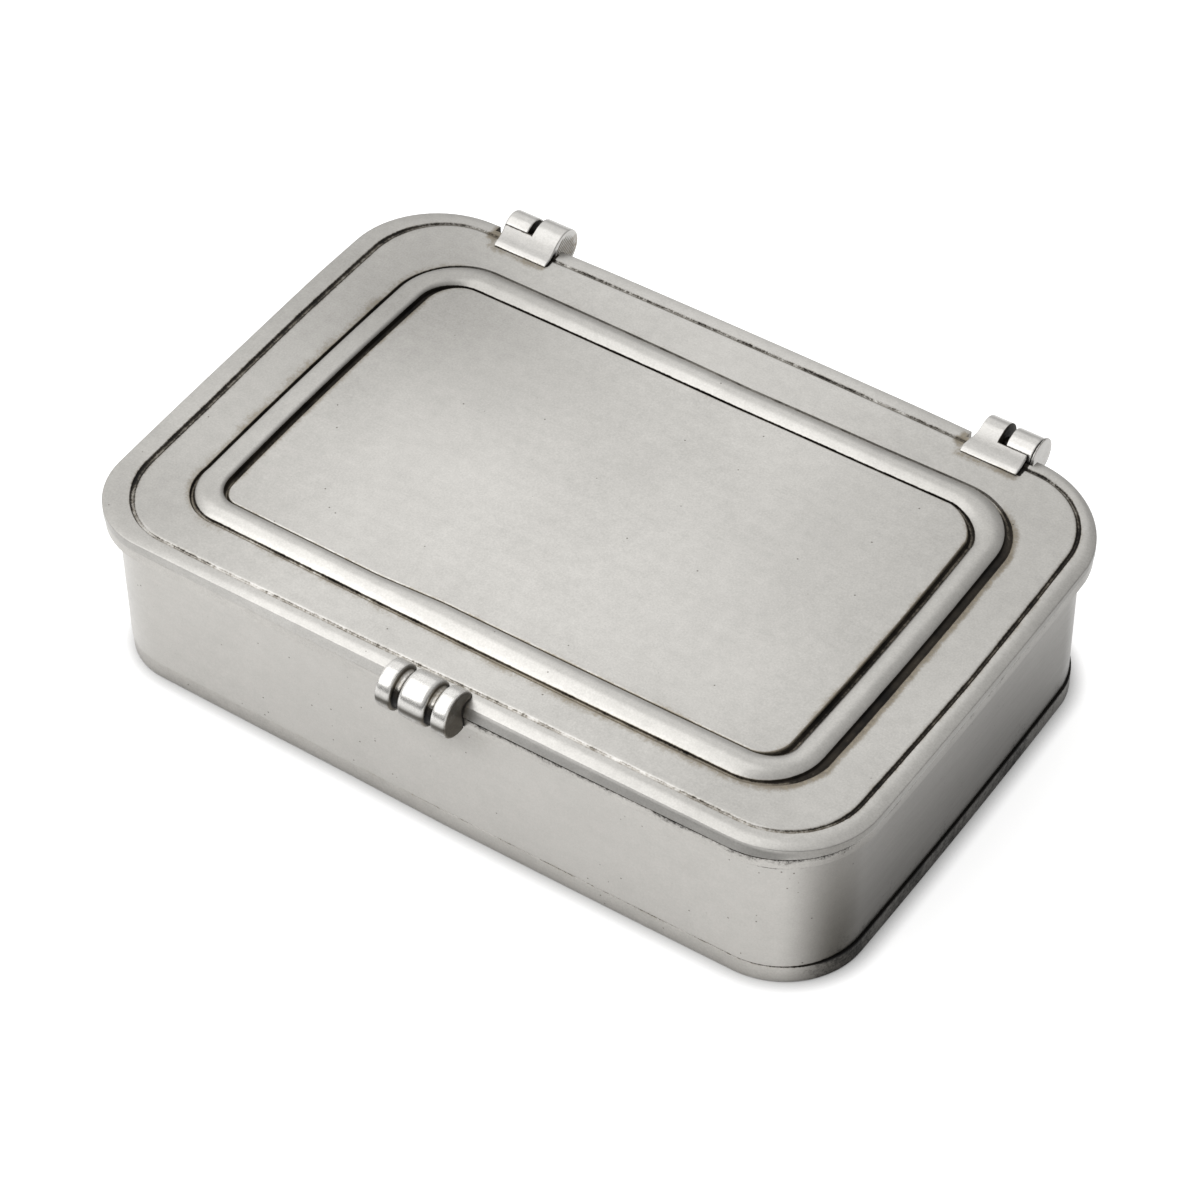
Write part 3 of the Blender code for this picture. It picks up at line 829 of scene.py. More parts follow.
@dataclass
class BoxPlan:
    """Places shared by the sub-assemblies, read from the frame."""

    long_bow: float = 0.5 * MM
    short_bow: float = 0.6 * MM
    crown: float = 0.4 * MM
    lid_thickness: float = 1.9 * MM
    corner: float = 16.0 * MM
    sharper_corner: float = 2.6 * MM
    drift: Drift = Drift({
        "left": ((-35, 0, 20, 38), (0.0, 0.2, 0.5, 0.35)),
        "back": ((-60, -30, 30, 55), (-0.35, 0.0, 0.0, -0.3)),
    }, (0.0, -0.55, 0.0, 0.0))
    half_length: float = field(init=False)
    half_width: float = field(init=False)
    lid_bottom: float = field(init=False)
    lid_top: float = field(init=False)

    def __post_init__(self) -> None:
        """Work out the lid's half sizes and heights from its CAD box."""
        low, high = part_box("lid")
        self.half_length = high.x - self.short_bow
        self.half_width = high.y - self.long_bow
        self.lid_bottom = low.z
        self.lid_top = low.z + self.lid_thickness

    def outline(self) -> Outline:
        """Give the lid's outline, whose front left corner is the sharper one."""
        corners = (self.corner,) * 3 + (self.corner - self.sharper_corner,)
        return Outline(self.half_length, self.half_width, corners, self.long_bow, self.short_bow)

    def crown_at(self, x: np.ndarray | float) -> np.ndarray:
        """Give the rise of the lid's top at places along X."""
        return self.crown * np.clip(1.0 - (x / self.half_length) ** 2, 0.0, 1.0)

    def direction(self, places: np.ndarray) -> np.ndarray:
        """Give the outward direction in plan of places near the wall, zero in the middle."""
        core = np.array([self.half_length - self.corner, self.half_width - self.corner])
        past = np.sign(places[:, :2]) * np.maximum(np.abs(places[:, :2]) - core, 0.0)
        return past / np.maximum(np.linalg.norm(past, axis=1), 1e-9)[:, None]


@dataclass(frozen=True)
class Axle:
    """The axis that both hinges share, the barrels' radius and the room round them."""

    y: float
    z: float
    barrel: float
    relief: float
    facets: int = 96
    end_room: float = 0.4 * MM

    def rod(self, name: str, radius: float, start: float, end: float) -> Mesh:
        """Make a round bar on the axis between two places along X, used to cut others."""
        work = bmesh.new()
        bmesh.ops.create_cone(work, cap_ends=True, segments=self.facets, radius1=radius,
                              radius2=radius, depth=abs(end - start))
        bmesh.ops.rotate(work, verts=work.verts, matrix=Matrix.Rotation(QUARTER_TURN, 3, "Y"))
        bmesh.ops.translate(work, verts=work.verts, vec=((start + end) / 2, self.y, self.z))
        return mesh_of(name, work)

    def clear(self, piece: Piece) -> Piece:
        """Cut the room for both hinges' barrels out of the lid or the rim."""
        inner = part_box("hinge_leaf_right")[0].x - self.end_room
        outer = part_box("hinge_pin_right")[1].x + self.end_room
        for side in Side:
            start, end = side.value * inner, side.value * outer
            cut_with(piece, self.rod("saddle_" + side.word, self.relief, start, end))
        return settle(piece)


@dataclass
class Lid:
    """The lid casting: rolled edge, engraved line, bead in its channels and panel."""

    plan: BoxPlan
    axle: Axle
    foot_round: float = 0.15 * MM
    crease_round: float = 0.2 * MM
    crease_turn: float = 70.0
    crease_drop: Sides = Sides(*mm(0.10, 0.52, 0.36, 0.20))
    crease_held: tuple = ((-60, -45, -24, -5), (0.75, 0.6, 0.25, 0.0))
    crease_lean: tuple = ((-60, -45, -24, 10, 60), (0.0, 0.15, 0.46, 0.8, 0.8))
    roll_breadth: float = 2.25 * MM
    roll_power: float = 1.8
    groove_inset: float = 3.1 * MM
    groove_width: Sides = Sides(*mm(1.15, 0.66, 0.75, 0.7))
    groove_depth: float = 0.3 * MM
    groove_corner: float = 13.2 * MM
    bead_half_length: float = 57.3 * MM
    bead_half_width: float = 36.1 * MM
    bead_corners: Four = mm(9.8, 11.5, 11.5, 8.8)
    bead_breadth: float = 4.8 * MM
    bead_height: float = 0.76 * MM
    bead_steps: int = 18
    bead_tilt: Sides = Sides(*mm(0.1, 0.55, 0.1, 0.0))
    bead_flatness: Sides = Sides(left=6.0, front=2.0, right=2.2, back=2.0)
    bead_fullness: Sides = Sides(left=0.5, front=1.0, right=0.75, back=1.0)
    outer_channel: Sides = Sides(*mm(0.8, 0.8, 1.45, 0.45))
    inner_channel: Sides = Sides(*mm(1.1, 0.32, 1.05, 0.6))
    channel_depth: float = 0.5 * MM
    panel_height: float = 0.42 * MM
    panel_round: float = 0.3 * MM
    groove_dark: Sides = Sides(left=0.85, front=0.58, right=1.05, back=0.62)
    outer_dark: Sides = Sides(left=1.2, front=0.68, right=1.9, back=0.40)
    inner_dark: Sides = Sides(left=1.6, front=0.46, right=1.4, back=0.80)
    groove_drift: Drift = Drift({
        "front": ((-55, -42, -24, -12, 17, 55), (0.4, 0.45, 0.15, 0.0, -0.45, -0.5)),
        "left": ((-35, -15, 10, 35), (-0.6, -0.6, -0.1, 0.0)),
        "back": ((-60, 60), (0.45, 0.45)),
        "right": ((-35, 0, 35), (0.0, 0.4, 0.1)),
    })
    outer_drift: Drift = Drift({
        "left": ((-30, 30), (-0.6, -0.6)),
        "back": ((-50, -20, 5, 30, 50), (0.0, -0.6, -1.1, -0.8, -0.2)),
    }, (0.0, 0.0, 0.0, 0.6))
    inner_drift: Drift = Drift({
        "back": ((-50, -20, 5, 30, 50), (0.0, -0.5, -0.75, -0.5, 0.0)),
        "right": ((-30, 30), (0.55, 0.55)),
        "front": ((-50, -20, -8), (0.75, 0.75, 0.0)),
    }, (0.0, -0.6, 0.0, 0.0))

    def outlines(self) -> dict[Line, Outline]:
        """Give the outline that each line on the lid follows."""
        edge = self.plan.outline()
        groove = replace(edge.inset(self.groove_inset), corners=(self.groove_corner,) * 4)
        bead = replace(edge, half_length=self.bead_half_length, half_width=self.bead_half_width,
                       corners=self.bead_corners)
        return {Line.EDGE: edge, Line.GROOVE: groove, Line.BEAD: bead}

    def _edge(self) -> list[Station]:
        """The underside, the side, its crease and the soft roll above it."""
        bottom, top = self.plan.lid_bottom, self.plan.lid_top
        edge = partial(Station, Line.EDGE)
        result = [edge(inset * MM, bottom, crowned=0.0)
                  for inset in (40, 30, 20, 12, 6, 3, 1, 0.4)]
        for angle in np.linspace(0.0, QUARTER_TURN, 4):
            inset = self.foot_round * (1.0 - math.sin(angle))
            height = bottom + self.foot_round * (1.0 - math.cos(angle))
            result.append(edge(inset, height, soil=0.3, crowned=0.0))
        last = math.radians(self.crease_turn)
        middle = top - self.crease_round * math.sin(last)
        start = bottom + self.foot_round
        for share in (0.33, 0.66, 1.0):
            height = start + (middle - start) * share
            result.append(edge(0.0, height, crowned=share, lean=share, fall=share))
        for angle in np.linspace(0.0, last, 5)[1:]:
            inset = self.crease_round * (1.0 - math.cos(angle))
            height = middle + self.crease_round * math.sin(angle)
            result.append(edge(inset, height, lean=1.0, fall=1.0))
        begin = self.crease_round * (1.0 - math.cos(last))
        for share in (0.93, 0.83, 0.70, 0.55, 0.40, 0.25, 0.10):
            inset = begin + self.roll_breadth * (1.0 - share)
            result.append(edge(inset, top, lean=share, follows=share,
                               fall=share**self.roll_power))
        return result

    def _groove(self) -> list[Station]:
        """The engraved line: steep outer wall, gentle inner slope.

        The table's columns are the place across, the rise, the grime and the soil.
        """
        table = (
            (-0.85, 0.0, 0.0, 0.12), (-0.3, 0.0, 0.08, 0.35), (-0.1, -0.05, 0.45, 0.65),
            (0.06, -0.7, 1.15, 1.0), (0.2, -1.0, 0.95, 1.0), (0.42, -1.0, 0.62, 1.0),
            (0.62, -0.85, 0.7, 1.0), (0.78, -0.5, 1.05, 0.95), (0.95, -0.12, 0.4, 0.65),
            (1.15, 0.0, 0.05, 0.3), (1.8, 0.0, 0.0, 0.1),
        )
        return [
            Station(Line.GROOVE, 0.0, self.plan.lid_top + rise * self.groove_depth, grime, soil,
                    self.groove_dark, across=across, width=self.groove_width)
            for across, rise, grime, soil in table
        ]

    def _bead(self) -> list[Station]:
        """The outer channel, the bead and the inner channel.

        The channel's columns are the place across, the rise, the grime and the soil.
        """
        top = self.plan.lid_top
        outer = partial(Station, Line.BEAD, sides=self.outer_dark, width=self.outer_channel)
        inner = partial(Station, Line.BEAD, sides=self.inner_dark, width=self.inner_channel)
        beside = ((-3.6, 0.0, 0.0), (-2.1, 0.12, 0.4), (-1.2, 0.3, 0.8), (-0.6, 0.45, 1.0),
                  (-0.2, 0.55, 1.0))
        channel = ((-1.0, 0.0, 0.38, 0.75), (-0.84, -0.5, 0.9, 0.95), (-0.62, -0.95, 0.52, 1.0),
                   (-0.34, -1.0, 0.48, 1.0), (-0.1, -0.75, 1.0, 1.0))
        result = [outer(inset * MM, top, 0.0, soil, follows=follows, across=-follows)
                  for inset, soil, follows in beside]
        result += [outer(0.0, top + rise * self.channel_depth, grime, soil, across=across)
                   for across, rise, grime, soil in channel]
        for index in range(self.bead_steps + 1):
            share = (1.0 - math.cos(math.pi * index / self.bead_steps)) / 2
            nearest = min(share, 1.0 - share)
            half = outer if share < 0.5 else inner
            result.append(half(self.bead_breadth * share, top, max(0.0, 1.0 - nearest * 45.0),
                               max(0.0, 0.9 - nearest * 26.0), share=share, arched=True))
        result += [inner(self.bead_breadth, top + rise * self.channel_depth, grime, soil,
                         share=1.0, across=-across)
                   for across, rise, grime, soil in channel[:0:-1]]
        return result

    def _panel(self) -> list[Station]:
        """The raised panel with its rounded edge."""
        top = self.plan.lid_top
        inner = partial(Station, Line.BEAD, sides=self.inner_dark, width=self.inner_channel,
                        share=1.0)
        result = []
        for angle in np.linspace(0.0, QUARTER_TURN, 8):
            inset = self.bead_breadth + self.panel_round * (1.0 - math.cos(angle))
            fade = 1.0 - angle / QUARTER_TURN
            result.append(inner(inset, top + self.panel_height * math.sin(angle),
                                0.45 * fade**2, 0.4 + 1.5 * fade, across=1.0))
        for inset, soil, follows in (
            (0.2, 0.35, 1.0), (0.7, 0.14, 1.0), (1.5, 0.0, 0.8), (3.0, 0.0, 0.5), (6.0, 0.0, 0.0),
            (10.0, 0.0, 0.0), (15.0, 0.0, 0.0), (20.0, 0.0, 0.0), (25.0, 0.0, 0.0),
        ):
            result.append(inner(self.bead_breadth + self.panel_round + inset * MM,
                                top + self.panel_height, soil=soil, follows=follows,
                                across=follows))
        return result

    def _stray(self, station: Station, places: np.ndarray, normals: np.ndarray) -> np.ndarray:
        """Give how far a station's ring strays outwards from its outline."""
        groove = self.groove_drift.at(places, normals)
        if station.line is Line.GROOVE:
            return groove
        if station.line is Line.EDGE:
            edge = self.plan.drift.at(places, normals)
            return edge * station.follows + groove * (1.0 - station.follows)
        outer = self.outer_drift.at(places, normals)
        inner = self.inner_drift.at(places, normals)
        return (outer * (1.0 - station.share) + inner * station.share) * station.follows

    def _ring(self, station: Station, outline: Outline) -> tuple[np.ndarray, np.ndarray]:
        """Give the points of a station's ring and their outward directions in plan."""
        places, normals = outline.inset(station.inset).ring()
        places -= normals * (station.across * station.width.along(normals))[:, None]
        front = np.clip(-normals[:, 1], 0.0, 1.0) ** 2
        x = places[:, 0]
        held = front * np.interp(x / MM, *self.crease_held)
        height = station.height - station.fall * self.crease_drop.along(normals) * (1.0 - held)
        height += self.plan.crown_at(x) * station.crowned
        if station.arched:
            rise = arch(station.share, self.bead_flatness.along(normals),
                        self.bead_fullness.along(normals))
            tilt = self.bead_tilt.along(normals) * station.share
            height = height + self.bead_height * rise + tilt
        lean = front * np.interp(x / MM, *self.crease_lean) * MM * station.lean
        places += normals * self._stray(station, places, normals)[:, None]
        places[:, 1] += lean
        return np.column_stack([places, height]), normals

    def build(self) -> Piece:
        """Loft the stations and cut the room for the two hinges."""
        outlines = self.outlines()
        rings, grime, soil = [], [], []
        for station in self._edge() + self._groove() + self._bead() + self._panel():
            ring, normals = self._ring(station, outlines[station.line])
            front = np.clip(-normals[:, 1], 0.0, 1.0) ** 2
            weight = station.sides.along(normals)
            browner = front * (0.3 + 0.7 * step(ring[:, 0], -30 * MM, 15 * MM))
            rings.append(ring)
            grime.append(station.grime * weight * (1.0 - 0.15 * browner))
            soil.append(station.soil * weight
                        * (1.0 + 0.75 * browner * (station.line is Line.BEAD)))
        piece = loft("lid_casting", rings, outlines[Line.EDGE].end_count(),
                     {"grime": grime, "soil": soil})
        piece = self.axle.clear(piece)
        self._weather(piece)
        return piece

    def _weather(self, piece: Piece) -> None:
        """Paint shade into the metal: a little darker towards the back and the right, also towards
        the left end, the back left corner and slightly the front, and darker on the side faces,
        most on the right.
        """
        places, normals = read_points(piece)
        x, y = places[:, 0] / MM, places[:, 1] / MM
        painted_shade = 0.10 * step(y, -22, 22) + 0.15 * step(x, 15, 55)
        painted_shade += 0.20 * np.exp(-(((x + 42) / 28) ** 2 + ((y - 24) / 16) ** 2))
        painted_shade += 0.20 * step(-x, 25, 62) + 0.07 * step(-y, 18, 38)
        side = step(-normals[:, 2], -0.75, -0.45)
        side *= places[:, 2] > self.plan.lid_bottom + 0.1 * MM
        painted_shade += side * (0.10 + 0.36 * step(self.plan.direction(places)[:, 0], 0.3, 0.95))
        write_wear_and_shade(piece, tarnish=painted_shade)


@dataclass
class BodyShell:
    """Base plate, wall and mouth rim."""

    plan: BoxPlan
    trees: SweepTrees
    axle: Axle
    wall_inset: float = 2.2 * MM
    wall_thickness: float = 2.0 * MM
    wall_soft: float = 0.12 * MM
    rim_edge_inset: float = 0.14 * MM
    rim_round: float = 0.225 * MM
    rim_foot: float = 1.0 * MM
    flare_share: float = 0.50
    seam: float = 0.06 * MM
    lid_gap: float = 0.03 * MM
    sunk_front: float = 0.17 * MM
    base_shy: float = 0.05 * MM
    base_round: float = 0.35 * MM
    outline_points: int = 460
    corner_points: int = 64
    base_drift: Drift = Drift({
        "right": ((-40, 40), (0.4, 0.4)), "front": ((-60, -20, 0), (-0.3, -0.3, 0.0)),
    })

    def _sweep(self, name: str, profile: list[Pair], material: Metal) -> Piece:
        """Sweep a closed profile of (outward place, height) points round the lid's outline.

        Args:
            name: the piece's name.
            profile: places are measured outwards from the lid's edge.
            material: the piece's finish.

        Returns:
            The piece with its sweep as a modifier.
        """
        inner = max(-place for place, _ in profile) + 1.0 * MM
        mesh = bpy.data.meshes.new(name)
        points = [(place + inner, -height, 0.0) for place, height in profile]
        count = len(points)
        mesh.from_pydata(points, [(i, (i + 1) % count) for i in range(count)], [])
        piece = stand(name, mesh)
        plan = self.plan
        self.trees.run(piece, self.trees.outline, {
            "Length": 2 * (plan.half_length - inner), "Width": 2 * (plan.half_width - inner),
            "Corner": plan.corner - inner, "Sharper Corner": plan.sharper_corner,
            "Long Bow": plan.long_bow, "Short Bow": plan.short_bow,
            "Corner Points": self.corner_points, "Points": self.outline_points,
            "Material": material,
        })
        return piece

    def _follow_lid(self, piece: Piece) -> None:
        """Let a piece stray outwards and inwards as the lid's edge above it does."""
        places, _ = read_points(piece)
        outward = self.plan.direction(places)
        places[:, :2] += outward * self.plan.drift.at(places[:, :2], outward)[:, None]
        move_points(piece, places)

    def _right_side(self, places: np.ndarray) -> np.ndarray:
        """Give 1 on the right-hand side, fading over its front corner and towards the back."""
        outward = self.plan.direction(places)
        return step(outward[:, 0], 0.48, 1.0) * (1.0 - 0.30 * step(places[:, 1], 5 * MM, 45 * MM))

    def base(self, material: Metal) -> Piece:
        """Base plate: a lofted slab with softened edges."""
        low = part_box("base_plate")[0].z
        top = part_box("body_wall")[0].z - self.seam
        start, soft = self.wall_inset + self.base_shy, self.base_round
        far = [inset * MM for inset in (42, 30, 15, 5)] + [start + soft * 2]
        bends = np.linspace(0.0, QUARTER_TURN, 5)
        table = [(inset, low) for inset in far]
        table += [(start + soft * (1 - math.sin(a)), low + soft * (1 - math.cos(a)))
                  for a in bends]
        table += [(start, low + (top - low) * share) for share in (0.3, 0.5, 0.7, 0.85)]
        soft /= 3
        table += [(start + soft * (1 - math.cos(a)), top - soft * (1 - math.sin(a)))
                  for a in bends]
        table += [(inset, top) for inset in far[::-1]]
        edge = self.plan.outline()
        rings = []
        for inset, height in table:
            points, normals = edge.inset(inset).ring()
            stray = self.plan.drift.at(points, normals) + self.base_drift.at(points, normals)
            points += normals * stray[:, None] * (inset < 6 * MM)
            rings.append(np.column_stack([points, np.full(len(points), height)]))
        piece = settle(loft("base_slab", rings, edge.end_count(), {}))
        piece.data.materials.append(material)
        places, _ = read_points(piece)
        rise = (places[:, 2] - low) / (top - low)
        spread = np.abs(places[:, :2])
        near_edge = step(np.max(spread / np.max(spread, axis=0), axis=1), 0.80, 0.90)
        right = self._right_side(places) * near_edge
        # Painted shade: the right side darker, most at its foot, and the bottom edge darker next
        # to the floor.
        write_wear_and_shade(
            piece,
            grime=(0.45 * near_edge + 0.5 * right) * step(rise, 0.95, 1.0) + 0.5 * right
            + 0.5 * right * step(rise, 0.12, 0.0),
            soil=0.08 + 0.3 * near_edge * step(rise, 0.8, 1.0)
            + (0.25 + 0.6 * right) * step(rise, 0.2, 0.0),
            tarnish=0.04 + 0.96 * right,
        )
        return piece

    def wall(self, material: Metal) -> Piece:
        """Plain wall with soft lips, swept round the outline."""
        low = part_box("body_wall")[0].z
        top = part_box("mouth_rim")[0].z - self.seam
        outer, soft = -self.wall_inset, self.wall_soft
        inner = outer - self.wall_thickness
        heights = np.linspace(low + 1.5 * MM, top - 1.5 * MM, 10)
        profile = [(inner, low), (outer - soft, low), (outer, low + soft),
                   (outer, low + 3 * soft), (outer, low + 0.8 * MM)]
        profile += [(outer, height) for height in heights]
        profile += [(outer, top - place * MM) for place in (1.1, 0.9, 0.78, 0.66, 0.54, 0.42, 0.3)]
        profile += [(outer, top - soft), (outer - soft, top), (inner, top)]
        profile += [(inner, height) for height in heights[::-1]]
        piece = settle(self._sweep("wall_sheet", profile, material))
        mend(piece)
        self._follow_lid(piece)
        places, normals = read_points(piece)
        x, _, z = places.T
        foot, head = z - low, top - z
        outward = self.plan.direction(places)
        front = np.clip(-outward[:, 1], 0.0, 1.0)
        outside = np.sum(outward * normals[:, :2], axis=1) > -0.5
        right = self._right_side(places) * outside
        # Painted shadow on the front wall under the thumb piece.
        thumb_shadow = front * np.exp(-((x / MM - 1.5) / 7.0) ** 2) * step(z, 17 * MM, 25 * MM)
        # Painted shade: the right side darkens strongly towards its foot, the other sides a little
        # towards the bottom.
        level = np.clip(z / (27 * MM), 0.0, 1.0)
        kept = 0.03 + 0.36 * level**1.35
        painted_shade = (1.0 - kept) / (1.0 - TARNISH_AND_SHADE_TINT[1]) * right
        painted_shade += (0.05 + 0.06 * (1.0 - level)) * (1.0 - right)
        # Painted shade: dark lines just under the rim and a darker foot on the right; the foot
        # seam also holds real dirt.
        write_wear_and_shade(
            piece,
            grime=(0.5 + 0.5 * right) * step(foot, 0.2 * MM, 0.0)
            + 0.33 * right * step(foot, 9 * MM, 0.0) + 0.55 * step(head, 0.22 * MM, 0.0)
            + 0.25 * thumb_shadow + 0.62 * front * step(head, 0.92 * MM, 0.74 * MM),
            soil=(0.4 + 0.4 * right) * step(foot, 0.7 * MM, 0.0)
            + 0.3 * step(head, 0.8 * MM, 0.0) + 0.55 * thumb_shadow,
            tarnish=painted_shade + 0.35 * thumb_shadow,
        )
        return piece

    def rim(self, material: Metal) -> Piece:
        """Mouth moulding: hollow flare, rounded edge, flat top, let down a little in front."""
        low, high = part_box("mouth_rim")
        top = self.plan.lid_bottom - self.lid_gap
        flare_height = (high.z - low.z) * self.flare_share
        reach = self.wall_inset - self.rim_edge_inset
        inner = -(self.wall_inset + self.wall_thickness)
        profile = [(inner, low.z), (inner + self.rim_foot, low.z)]
        profile += [(reach * (1.0 - math.cos(angle)) - self.wall_inset,
                     low.z + flare_height * math.sin(angle))
                    for angle in np.linspace(0.0, QUARTER_TURN, 14)]
        profile += [(-self.rim_edge_inset - self.rim_round * (1.0 - math.cos(angle)),
                     top - self.rim_round * (1.0 - math.sin(angle)))
                    for angle in np.linspace(0.0, QUARTER_TURN, 7)]
        profile += [(-1.5 * MM, top), (inner + 0.3 * MM, top), (inner, top - 0.3 * MM)]
        piece = self.axle.clear(self._sweep("mouth_moulding", profile, material))
        self._follow_lid(piece)
        places, _ = read_points(piece)
        x, _, z = places.T
        front = np.clip(-self.plan.direction(places)[:, 1], 0.0, 1.0) ** 2
        right = self._right_side(places)
        open_line = np.clip(front * step(x, -10 * MM, 8 * MM) + 0.3 * right, 0.0, 1.0)
        z -= self.sunk_front * open_line * step(z, top - 0.45 * MM, top - 0.1 * MM)
        move_points(piece, places)
        rise, head = z - low.z, top - z
        thumb_shadow = front * np.exp(-((x / MM - 0.8) / 6.5) ** 2)
        # Painted shade: the dark line at the flare's foot, the shadow in the gap under the lid,
        # the shadow under the thumb piece and the darker right side.
        write_wear_and_shade(
            piece,
            grime=0.6 * step(rise, 0.2 * MM, 0.0) + 0.2 * thumb_shadow
            + (0.15 + 0.65 * open_line) * step(head, 0.5 * MM, 0.25 * MM),
            soil=0.35 * step(rise, 1.4 * MM, 0.0) + 0.5 * thumb_shadow
            + (0.1 + 0.3 * open_line) * step(head, 0.8 * MM, 0.0),
            tarnish=0.08 + 0.3 * thumb_shadow
            + 0.66 * right * (1.0 - 0.28 * step(rise, 1.5 * MM, 2.2 * MM)),
        )
        return piece


@dataclass(frozen=True)
class HingeHand:
    """What hand finishing made different on one of the two hinges."""

    barrel_setback: float
    head_share: float
    knuckle_passes: int
    leaf_share: float
    foot_shift: float


@dataclass
class Hinge:
    """One hinge: leaf with the lid's knuckle, body knuckle on its leg, and pin."""

    side: Side
    plan: BoxPlan
    trees: SweepTrees
    axle: Axle
    hand: HingeHand
    leaf_edge: float = 0.5 * MM
    leaf_top: float = 115.0
    leaf_end: float = 152.0
    leaf_passes: int = 16
    strap: float = 0.55 * MM
    foot: float = 0.45 * MM
    bore: float = 1.05 * MM
    knuckle_length: float = 5.1 * MM
    knuckle_share: float = 0.94
    knuckle_extra: float = 0.62 * MM
    knuckle_foot: float = -60.0
    wall_pass: float = 0.65 * MM
    pin_depth: float = 3.9 * MM
    pin_soft: float = 0.12 * MM
    shaft: float = 0.9 * MM
    head_thickness: float = 0.4 * MM
    leg: float = 1.7 * MM
    casting_grain: float = 0.11 * MM
    file_turn: float = 38.0

    def _box(self, node: str) -> tuple[float, float, Vector, Vector]:
        """Give the inner and outer |x| of a CAD node of this hinge, and its box."""
        low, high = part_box(node + "_" + self.side.word)
        inner, outer = sorted((abs(low.x), abs(high.x)))
        return inner, outer, low, high

    def _on_barrel(self, degrees: float, radius: float) -> Pair:
        """Give the (y, z) point on the barrel at an angle from +Y towards +Z."""
        angle = math.radians(degrees)
        return self.axle.y + radius * math.cos(angle), self.axle.z + radius * math.sin(angle)

    @staticmethod
    def _bezier(points: list[Pair], count: int = 18) -> list[Pair]:
        """Give points along a Bezier curve."""
        result = []
        for share in np.linspace(0.0, 1.0, count + 1):
            level = [np.array(p) for p in points]
            while len(level) > 1:
                level = [a + (b - a) * share for a, b in zip(level, level[1:])]
            result.append(tuple(level[0]))
        return result

    def _cast(self, name: str, profile: list[Pair], ends: Pair, cuts: tuple[Triple, ...],
              passes: int) -> Piece:
        """Cast one part of the hinge.

        Args:
            name: the piece's name.
            profile: its (y, z) outline.
            ends: the |x| places between which it runs.
            cuts: radius, start and end of each round cut on the axis.
            passes: how often its edges were worn.

        Returns:
            The casting as a plain mesh with worn edges.
        """
        sign = self.side.value
        piece = extruded(name, profile, sign * ends[0], sign * ends[1])
        for index, (radius, start, end) in enumerate(cuts):
            label = name + "_" + str(index)
            cut_with(piece, self.axle.rod(label, radius, sign * start, sign * end))
        soften(piece, self.casting_grain, passes)
        return settle(piece)

    def leaf(self) -> Piece:
        """Leaf: foot soldered on the lid, hollow-backed strap and the lid's knuckle."""
        inner, outer, low, _ = self._box("hinge_leaf")
        front = low.y + 0.1 * MM
        lid_top = self.plan.lid_top + float(self.plan.crown_at((inner + outer) / 2))
        edge_z = lid_top + self.leaf_edge
        barrel = self.axle.barrel * self.hand.leaf_share
        top_y, top_z = self._on_barrel(self.leaf_top, barrel)
        end_y, end_z = self._on_barrel(self.leaf_end, barrel)
        bend = ((top_y + front) / 2 + 0.3 * MM, edge_z + (top_z - edge_z) * 0.19)
        crest = (front + 1.2 * MM, edge_z + 0.14 * MM)
        profile = self._bezier([(front, lid_top + 0.05 * MM), (front + 0.3 * MM, edge_z), crest],
                               8)
        profile += self._bezier([crest, bend, (top_y, top_z)])[1:]
        profile += [self._on_barrel(self.leaf_top - turn, barrel) for turn in range(4, 323, 4)]
        profile += self._bezier([
            (end_y, max(end_z, lid_top + 0.15 * MM)), (bend[0] + 0.5 * MM, bend[1] - self.strap),
            (front + self.foot, lid_top + 0.02 * MM),
        ])
        knuckle_end = inner + self.knuckle_length
        beyond = outer + 4 * MM
        cuts = ((self.axle.relief, knuckle_end, beyond),
                (self.bore, knuckle_end - self.pin_depth, beyond))
        piece = self._cast("leaf_" + self.side.word, profile, (inner, outer), cuts,
                           self.leaf_passes)
        places, normals = read_points(piece)
        x, y, z = places.T
        depth = np.abs(x)
        back = step(y, front + 1 * MM, self.axle.y - 2 * MM)
        setback = self.hand.barrel_setback * back * (1.0 - step(depth, inner, inner + 3 * MM))
        x += self.side.value * setback + self.hand.foot_shift * (1.0 - back)
        move_points(piece, places)
        down = -normals[:, 2]
        foot = step(z, lid_top + 0.4 * MM, lid_top + 0.08 * MM)
        under_side = step(down, 0.2, 0.8)
        cut_end = step(depth, knuckle_end - 0.35 * MM, knuckle_end)
        cut_end *= step(y, self.axle.y - 3.0 * MM, self.axle.y)
        from_axis = np.hypot(y - self.axle.y, z - self.axle.z)
        relief = self.axle.relief
        hollow_side = step(from_axis, relief + 0.35 * MM, relief)
        hollow_side *= depth > knuckle_end - 0.2 * MM
        hollow = np.exp(-(((y - bend[0]) / (1.3 * MM)) ** 2))
        # Painted shade: under the strap, in the slot at the knuckle's end, in the saddle, on the
        # hollow back and on downward faces; the foot line also holds soil.
        write_wear_and_shade(
            piece, grime=0.35 * foot + under_side + cut_end + hollow_side,
            soil=0.7 * foot + 0.8 * under_side + 0.6 * cut_end + hollow_side,
            tarnish=0.06 + 0.22 * hollow + 0.4 * step(down, -0.2, 0.5),
        )
        return piece

